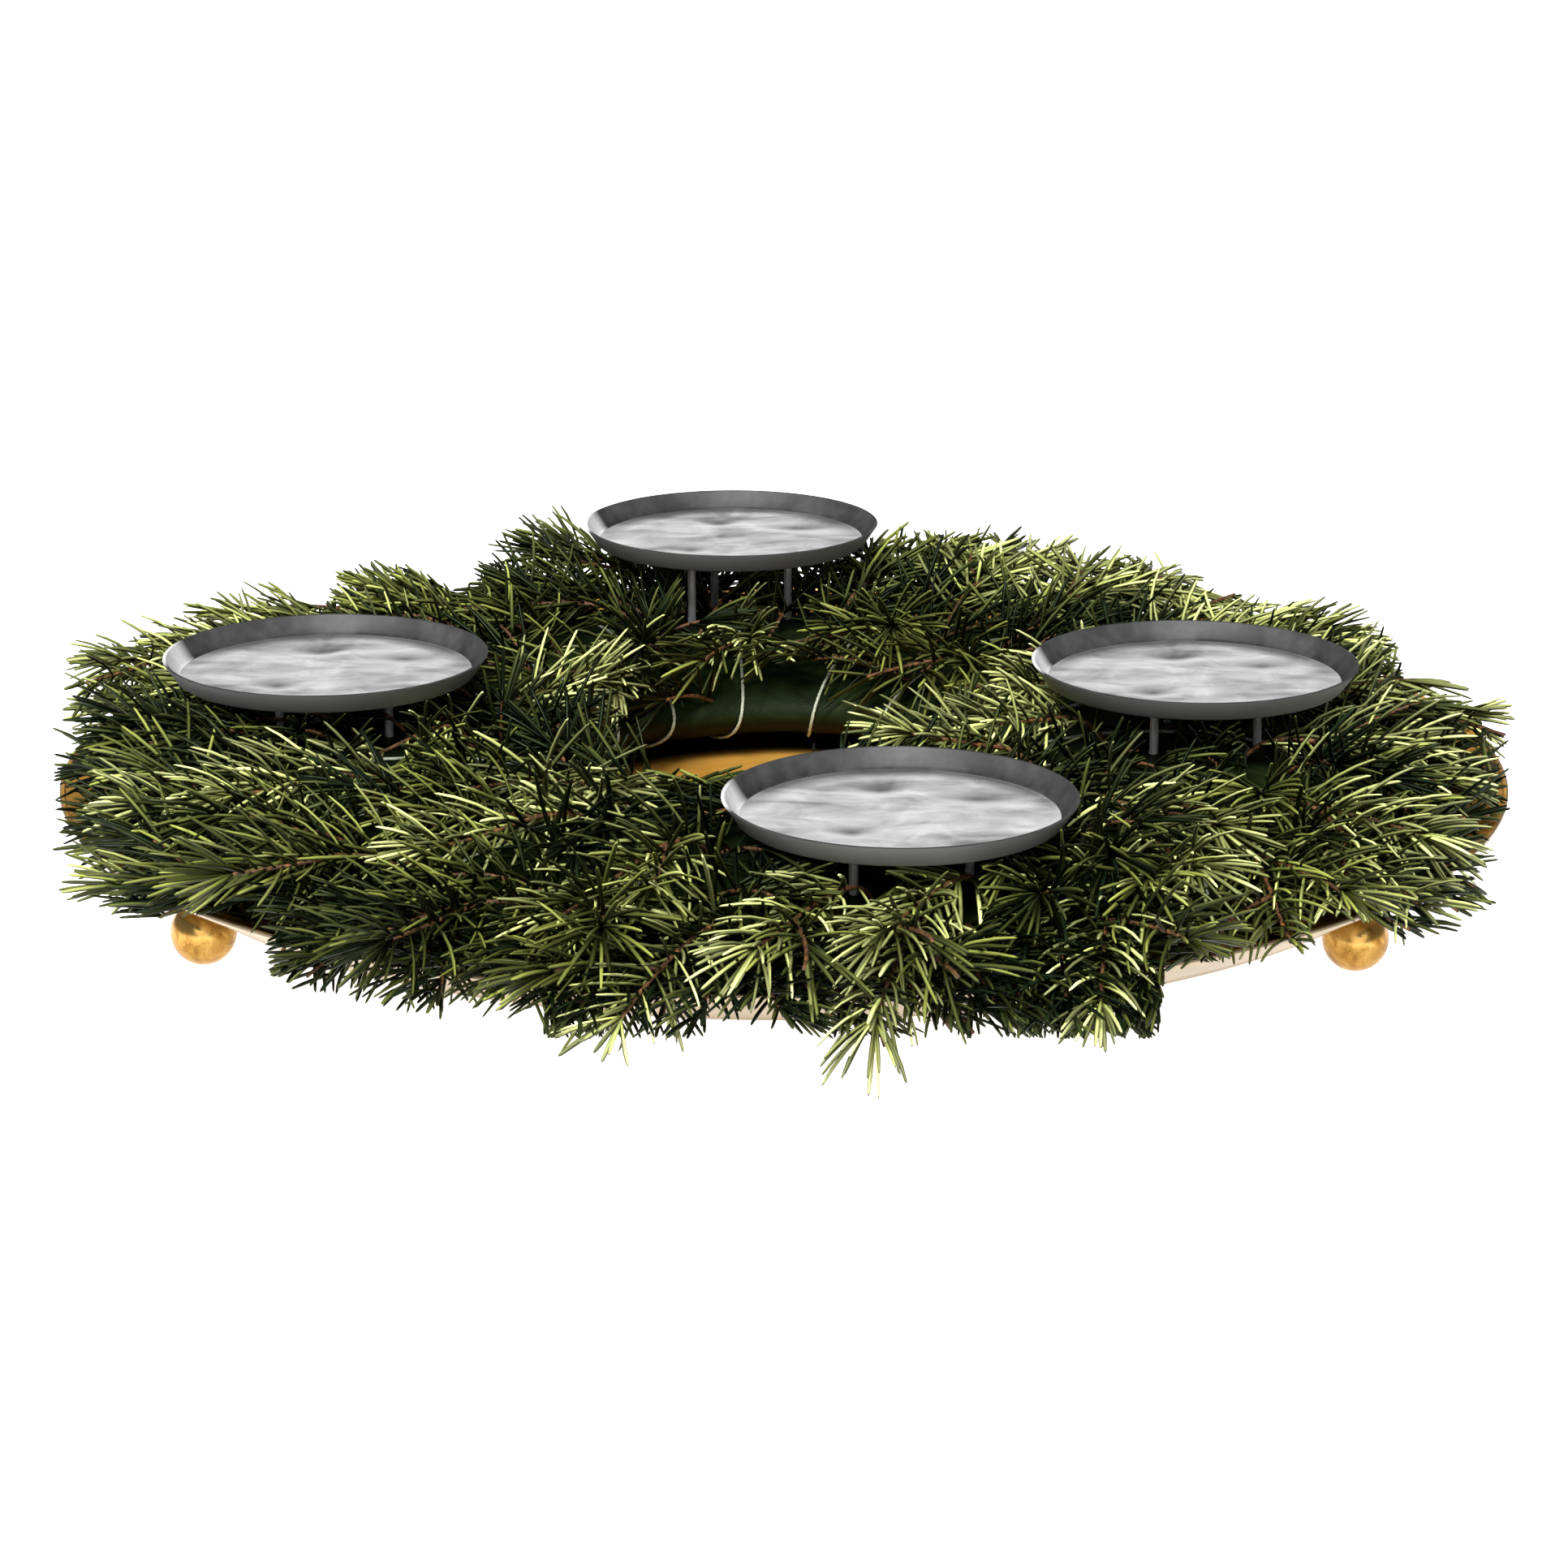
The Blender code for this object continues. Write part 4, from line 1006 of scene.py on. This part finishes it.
def wall_material():
    """Darker metal of the dishes' walls, with painted shade by the floor, a painted glint at the left end
    and painted light on the faces that turn down.
    """
    n = Nodes("steel_wall")
    radius, angle, _ = n.radius()
    smudge = n.noise(90, 4, 0.6)
    # Painted shade: darker where the wall meets the floor
    near_floor = n.span(radius, 1.0, 0.0, DISH_FLOOR_RADIUS + 1.5 * MM, DISH_FLOOR_RADIUS + 3.2 * MM)
    colour = n.mix(near_floor, (0.029, 0.029, 0.030), (0.014, 0.014, 0.015))
    # Painted reflection: a bright glint on the wall's left end
    left_end_glint = n.span(n.math("ABSOLUTE", angle), 0.0, 1.0, 2.80, 2.95)
    colour = n.mix(left_end_glint, colour, (0.80, 0.80, 0.80))
    # Painted light: faces that turn down, as on the outer wall, are made lighter than those that face up
    colour = n.mix(n.span(n.upward(), 1.0, 0.0, -0.3, 0.3), colour, (0.19, 0.19, 0.19))
    colour = n.mix(n.span(smudge, 0.0, 0.30, 0.4, 0.7), colour, (0.16, 0.16, 0.162))
    n.bump(n.noise(800, 3), 0.10, 0.0002)
    return n.finish(colour, n.span(smudge, 0.55, 0.66), 0.15)


def floor_steel_material():
    """Bright frosted steel of the dishes' floors, with painted shade and painted highlights by the dents and
    a painted shadow by the far wall.
    """
    n = Nodes("steel_floor")
    cloud = n.noise(70, 4, 0.6, distortion=0.8)
    streak = n.noise(1.0, 4, 0.55, n.stretched((28, 95, 60)), 0.6)
    mixed = n.plus(n.times(cloud, 0.4), n.times(streak, 0.6))
    dark, middle, light = (0.19, 0.19, 0.192), (0.50, 0.50, 0.503), (0.79, 0.79, 0.79)
    colour = n.ramp(mixed, (0.33, dark), (0.47, middle), (0.61, light))
    across, along, _ = n.parts(n.place)
    # Painted shade and painted highlight: a dark and a bright patch beside each dent
    for x, y, wide in DENTS:
        aside = n.math("DIVIDE", n.math("SUBTRACT", across, x * MM), 1.4 * wide)
        for shift, strength, tone in ((2.0, 0.95, 0.10), (-3.4, 0.9, 1.0)):
            away = n.length(aside, n.math("SUBTRACT", along, (y + shift) * MM))
            colour = n.mix(n.span(away, strength, 0.0, 0.0, DENT_SHADE), colour, (tone,) * 3)
    # Painted shadow where the far wall meets the floor
    shade = n.span(n.radius()[0], 0.0, 0.85, DISH_FLOOR_RADIUS - 5.5 * MM, DISH_FLOOR_RADIUS)
    far = n.span(along, 0.0, 1.0, -2 * MM, 24 * MM)
    colour = n.mix(n.times(shade, far), colour, (0.05, 0.05, 0.05))
    n.bump(n.plus(n.noise(1500, 4, 0.7), n.times(n.noise(420, 3), 1.5)), 0.22, 0.0003)
    return n.finish(colour, n.span(cloud, 0.36, 0.48), 0.30)


def brass_material():
    n = Nodes("brass_ball")
    patch = n.noise(160, 5, 0.65, distortion=0.7)
    dark, middle, light = (0.22, 0.09, 0.018), (0.46, 0.26, 0.06), (0.66, 0.42, 0.13)
    colour = n.ramp(patch, (0.32, dark), (0.50, middle), (0.72, light))
    n.bump(n.noise(500, 3), 0.10, 0.0003)
    return n.finish(colour, n.span(patch, 0.34, 0.16, 0.3, 0.7), 1.0)


def wire_material():
    n = Nodes("dark_wire")
    streak = n.noise(1.0, 3, 0.6, n.stretched((2600, 2600, 160)))
    colour = n.ramp(streak, (0.3, (0.50, 0.50, 0.505)), (0.7, (0.85, 0.85, 0.86)))
    n.bump(streak, 0.2, 0.0002)
    return n.finish(colour, n.span(streak, 0.28, 0.42), 0.3)


def floor_material():
    n = Nodes("pale_floor")
    colour = n.mix(n.noise(1.5, 3), (0.90, 0.90, 0.90), (0.92, 0.92, 0.92))
    return n.finish(colour, 0.8, Emission_Color=(0.9, 0.9, 0.9, 1), Emission_Strength=1.05)


# Pieces


def attach(obj, slot, *nodes):
    """Put a piece on the body in place of its nodes, and hide them; the slot is not used."""
    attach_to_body(obj, "root")
    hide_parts(*nodes)


def beside(radius, height, *steps):
    """Profile points a few millimetres out and up from one place."""
    return [(radius + out * MM, height + up * MM) for out, up in steps]


def make_tray():
    inside = sheet_material("gold_inside", (0.52, 0.24, 0.03), (0.72, 0.38, 0.07), (0.30, 0.42), 0.30, True)
    outside = sheet_material("gold_outside", (0.30, 0.23, 0.14), (0.46, 0.36, 0.23), (0.26, 0.38), 0.8)
    floor = TRAY_UNDERSIDE + TRAY_SHEET
    flare = math.atan2(TRAY_RIM_HEIGHT - TRAY_UNDERSIDE, TRAY_RIM_RADIUS - TRAY_FLOOR_RADIUS)
    inward = TRAY_SHEET / math.sin(flare)
    rim = ((-0.9, -1.7), (0, -0.7), (-0.15, -0.2), (-0.54, 0), (-1.35, -0.25), (-1.71, -1.0))
    profile = [(radius * MM, TRAY_UNDERSIDE) for radius in (8, 60, 110, 140, 160)]
    profile += beside(TRAY_FLOOR_RADIUS, TRAY_UNDERSIDE, (-2.5, 0), (-1.0, 0.35), (0, 1.4), (4.0, 3.7))
    profile += beside(TRAY_RIM_RADIUS, TRAY_RIM_HEIGHT, *rim)
    outer = len(profile) - 3
    profile += beside(TRAY_FLOOR_RADIUS - inward, floor, (4.2, 3.2), (0.9, 1.2), (-0.4, 0.4))
    profile += [(radius * MM, floor) for radius in (175, 155, 140, 100, 60, 20, 6)]
    bands = [1] * outer + [0] * (len(profile) - outer)
    attach(revolve("tray_pan", profile, 192, [inside, outside], TRAY_CENTRE, bands), "gold", "tray")


def make_feet():
    material = brass_material()
    top = math.acos(FOOT_FLAT_RADIUS / FOOT_RADIUS)
    middle = FOOT_RADIUS * math.sin(top)
    profile = [(0.4 * FOOT_FLAT_RADIUS, 0.0)]
    for k in range(FOOT_STEPS + 1):
        angle = -top + 2 * top * k / FOOT_STEPS
        profile.append((FOOT_RADIUS * math.cos(angle), middle + FOOT_RADIUS * math.sin(angle)))
    profile.append((0.4 * FOOT_FLAT_RADIUS, 2 * middle))
    for number, azimuth in enumerate(FOOT_ANGLES, 1):
        foot = revolve(f"ball_{number}", profile, 64, [material], foot_place(azimuth))
        attach(foot, "brass", f"foot_{number}")


def dish_shift(name):
    """The gentle waves of a dish's floor, with a soft dent where each pin is welded on."""
    phase = sum(map(ord, name))

    def shift(x, y):
        from_centre = math.hypot(x, y)
        fade = min(max((DISH_FLOOR_RADIUS - 1.5 * MM - from_centre) / (6 * MM), 0), 1)
        wave = math.sin(x / (7.5 * MM) + 0.7 * math.sin(y / (9 * MM)) + phase)
        wave += math.sin(y / (8.5 * MM) + math.sin(x / (11 * MM)) + 1.7)
        height = 0.16 * MM * wave
        for sx, sy, wide in DENTS:
            away = math.hypot((x - sx * MM) / wide, y - sy * MM)
            height -= 0.80 * MM * math.exp(-((away / (3.2 * MM)) ** 2))
            height += 0.34 * MM * math.exp(-(((away - 6.4 * MM) / (2.8 * MM)) ** 2))
        return height * fade

    return shift


def make_dishes():
    materials = [wall_material(), floor_steel_material()]
    inward = DISH_SHEET / math.sin(math.atan2(DISH_DEPTH, DISH_RIM_RADIUS - DISH_FLOOR_RADIUS))
    for name, centre, rim in DISHES:
        floor = rim - DISH_DEPTH
        under = floor - DISH_SHEET
        profile = [(radius * MM, under) for radius in np.linspace(1.0, 36.5, 24)]
        profile += beside(DISH_FLOOR_RADIUS, under, (-0.4, 0), (1.2, 0.2), (2.0, 0.7))
        profile += beside(DISH_RIM_RADIUS, rim, (-0.25, -0.5), (0, -0.15))
        profile += [(DISH_RIM_RADIUS - 0.35 * inward, rim), (DISH_RIM_RADIUS - 0.8 * inward, rim - 0.1 * MM)]
        profile += beside(DISH_RIM_RADIUS - inward, rim, (0, -0.5))
        profile += beside(DISH_FLOOR_RADIUS, floor, (1.9, 1.0), (1.0, 0.25), (0.2, 0))
        edge = len(profile) - 2
        profile += [(radius * MM, floor) for radius in np.linspace(36.8, 1.0, 46)]
        bands = [0] * edge + [1] * (len(profile) - edge)
        dish = revolve("plate_" + name, profile, 128, materials, centre, bands, dish_shift(name))
        attach(dish, "steel", "dish_" + name)


def make_pins():
    wire = wire_material()
    for name, top, foot, _ in pin_lines():
        radii = PIN_RADIUS * np.array((1.5, 1.15, 1, 1, 1, 0.15))
        heights = [top.z - drop * MM for drop in (0, 0.5, 1.2, 12)] + [foot.z + PIN_POINT, foot.z]
        points = np.array([(top.x, top.y, height) for height in heights])
        pin = new_object("wire_" + name[4:], *tube(points, radii, 24), [wire], sharp=50, flip=True)
        attach(pin, "dark_steel", name)


def pin_lines():
    """Each pin's name, top and point, and how much of it shows."""
    lines = []
    for name, centre, rim_height in DISHES:
        top = rim_height - DISH_DEPTH - DISH_SHEET - GAP
        for number, azimuth in enumerate(PIN_ANGLES, 1):
            place = polar(centre, azimuth, PIN_CIRCLE)
            ends = Vector((*place, top)), Vector((*place, PIN_FOOT_HEIGHT))
            lines.append((f"pin_{name}_{number}", *ends, PIN_SHOWN[name][number - 1] * MM))
    return lines


def make_ring():
    """The straw ring in its film: soft bulges under it and the slanting edges of its overlapping turns."""
    points = []
    for i in range(FILM_SEGMENTS):
        azimuth = 360 * i / FILM_SEGMENTS
        for k in range(FILM_SIDES):
            place = 360 * k / FILM_SIDES
            bulge = 0.30 * math.sin(math.radians(7 * azimuth + 40 * math.sin(math.radians(2 * place))))
            bulge += 0.22 * math.sin(math.radians(13 * azimuth - 3 * place))
            lap = ((azimuth * 11 / 360 - place / 360) % 1.0) * 0.42
            points.append(on_ring(azimuth, place, (bulge * 0.35 + lap - 0.30) * MM)[0])
    faces = loop_faces(FILM_SEGMENTS, FILM_SIDES)
    attach(new_object("film_wrap", points, faces, [film_material()], flip=True), "green_film", "wreath_base")


def make_thread():
    """The thread's closed coil, its two strands twisted round each other."""
    steps, turns = THREAD_TURNS * THREAD_STEPS, 360 * THREAD_TURNS
    line = [on_ring(THREAD_START + 360 * k / steps, turns * k / steps, THREAD_OUT) for k in range(steps)]
    centre, normal = (as_points(part) for part in zip(*line))
    ahead = unit(np.roll(centre, -1, axis=0) - np.roll(centre, 1, axis=0))
    across = unit(np.cross(ahead, normal))
    angles = np.arange(THREAD_SIDES) * 2 * math.pi / THREAD_SIDES
    twist = np.arange(steps) * 2 * math.pi * THREAD_TURNS * THREAD_TWISTS / steps
    size = THREAD_RADIUS * (0.92 + 0.14 * np.cos(2 * (angles[None] - twist[:, None])))
    points = (centre[:, None] + circles(across, normal, THREAD_SIDES) * size[..., None]).reshape(-1, 3)
    thread = new_object("twine", points, loop_faces(steps, THREAD_SIDES), [thread_material()])
    attach(thread, "thread", "binding_thread")


def make_foliage():
    thread = [
        on_ring(THREAD_START + 360 * k / (THREAD_TURNS * RING_SIDES), 360 * k / RING_SIDES, 0.95 * MM)[0]
        for k in range(THREAD_TURNS * RING_SIDES)
    ]
    pins = pin_lines()
    neighbours, fixed, limbs = Neighbours(), Neighbours(), Neighbours()
    for group in (neighbours, fixed):
        group.add(thread + thread[:1], [THREAD_RADIUS] * (len(thread) + 1))
        for _, top, foot, _ in pins:
            group.add([top, foot], [PIN_RADIUS, PIN_RADIUS])
    sprigs = lay_sprigs(neighbours)
    rng = random.Random(SEED)
    filled = fill_sprigs(sprigs, neighbours, pins, rng)
    hang_skirt(sprigs, filled, neighbours, pins, rng)
    for name, _, stem, _, shoots in sprigs:
        for path in [stem[1:], *shoots, *(shoot for shoot, *_ in filled[name])]:
            limbs.add(path, [BARK_RADIUS] * len(path))
    cover_ring(sprigs, filled, limbs, fixed, pins, rng)
    draw = np.random.default_rng(SEED)
    materials = [bark_material(), needle_material()]
    for name, tone, stem, curve, shoots in sprigs:
        grown = [(shoot, tone, NEEDLES_PER_MM) for shoot in shoots]
        for shoot, own, dense in filled[name]:
            # Painted shade: a filling side shoot gets TWIG_TONE of its sprig's tone
            grown.append((shoot, TWIG_TONE * tone if own is None else own, dense))
        attach(sprig_piece(name, tone, stem, curve, grown, draw, pins, materials), "fir", "sprig_" + name)


# Floor, light and camera


def make_stage():
    corners = [(x * FLOOR_HALF, y * FLOOR_HALF, 0) for x, y in ((-1, -1), (1, -1), (1, 1), (-1, 1))]
    floor = new_object("studio_floor", corners, [(0, 1, 2, 3)], [floor_material()])
    floor.location.z = FLOOR_HEIGHT
    n = Nodes("studio", bpy.data.worlds, "Background")
    bpy.context.scene.world = n.owner
    height = n.parts(n.coordinates["Generated"])[2]
    colour = n.ramp(height, (0.30, (1.0, 1.0, 1.0)), (0.75, (0.42, 0.42, 0.43)))
    n.feed_all(n.shader, Color=colour, Strength=WORLD_STRENGTH)
    for name, strength, spread, turn in LIGHTS:
        data = bpy.data.lights.new(name, "SUN")
        data.energy = strength
        data.angle = math.radians(spread)
        lamp = bpy.data.objects.new(name, data)
        lamp.rotation_euler = [math.radians(part) for part in turn]
        bpy.context.scene.collection.objects.link(lamp)


def make_camera():
    data = bpy.data.cameras.new("camera")
    data.lens = LENS
    data.sensor_width = SENSOR
    data.clip_start, data.clip_end = 0.05, 60
    camera = bpy.data.objects.new("camera", data)
    camera.location = EYE
    camera.rotation_euler = (-BACKWARD).to_track_quat("-Z", "Y").to_euler()
    bpy.context.scene.collection.objects.link(camera)
    bpy.context.scene.camera = camera


make_camera()
make_stage()
make_tray()
make_feet()
make_dishes()
make_pins()
make_ring()
make_thread()
make_foliage()
bpy.context.scene.view_settings.view_transform = "Standard"
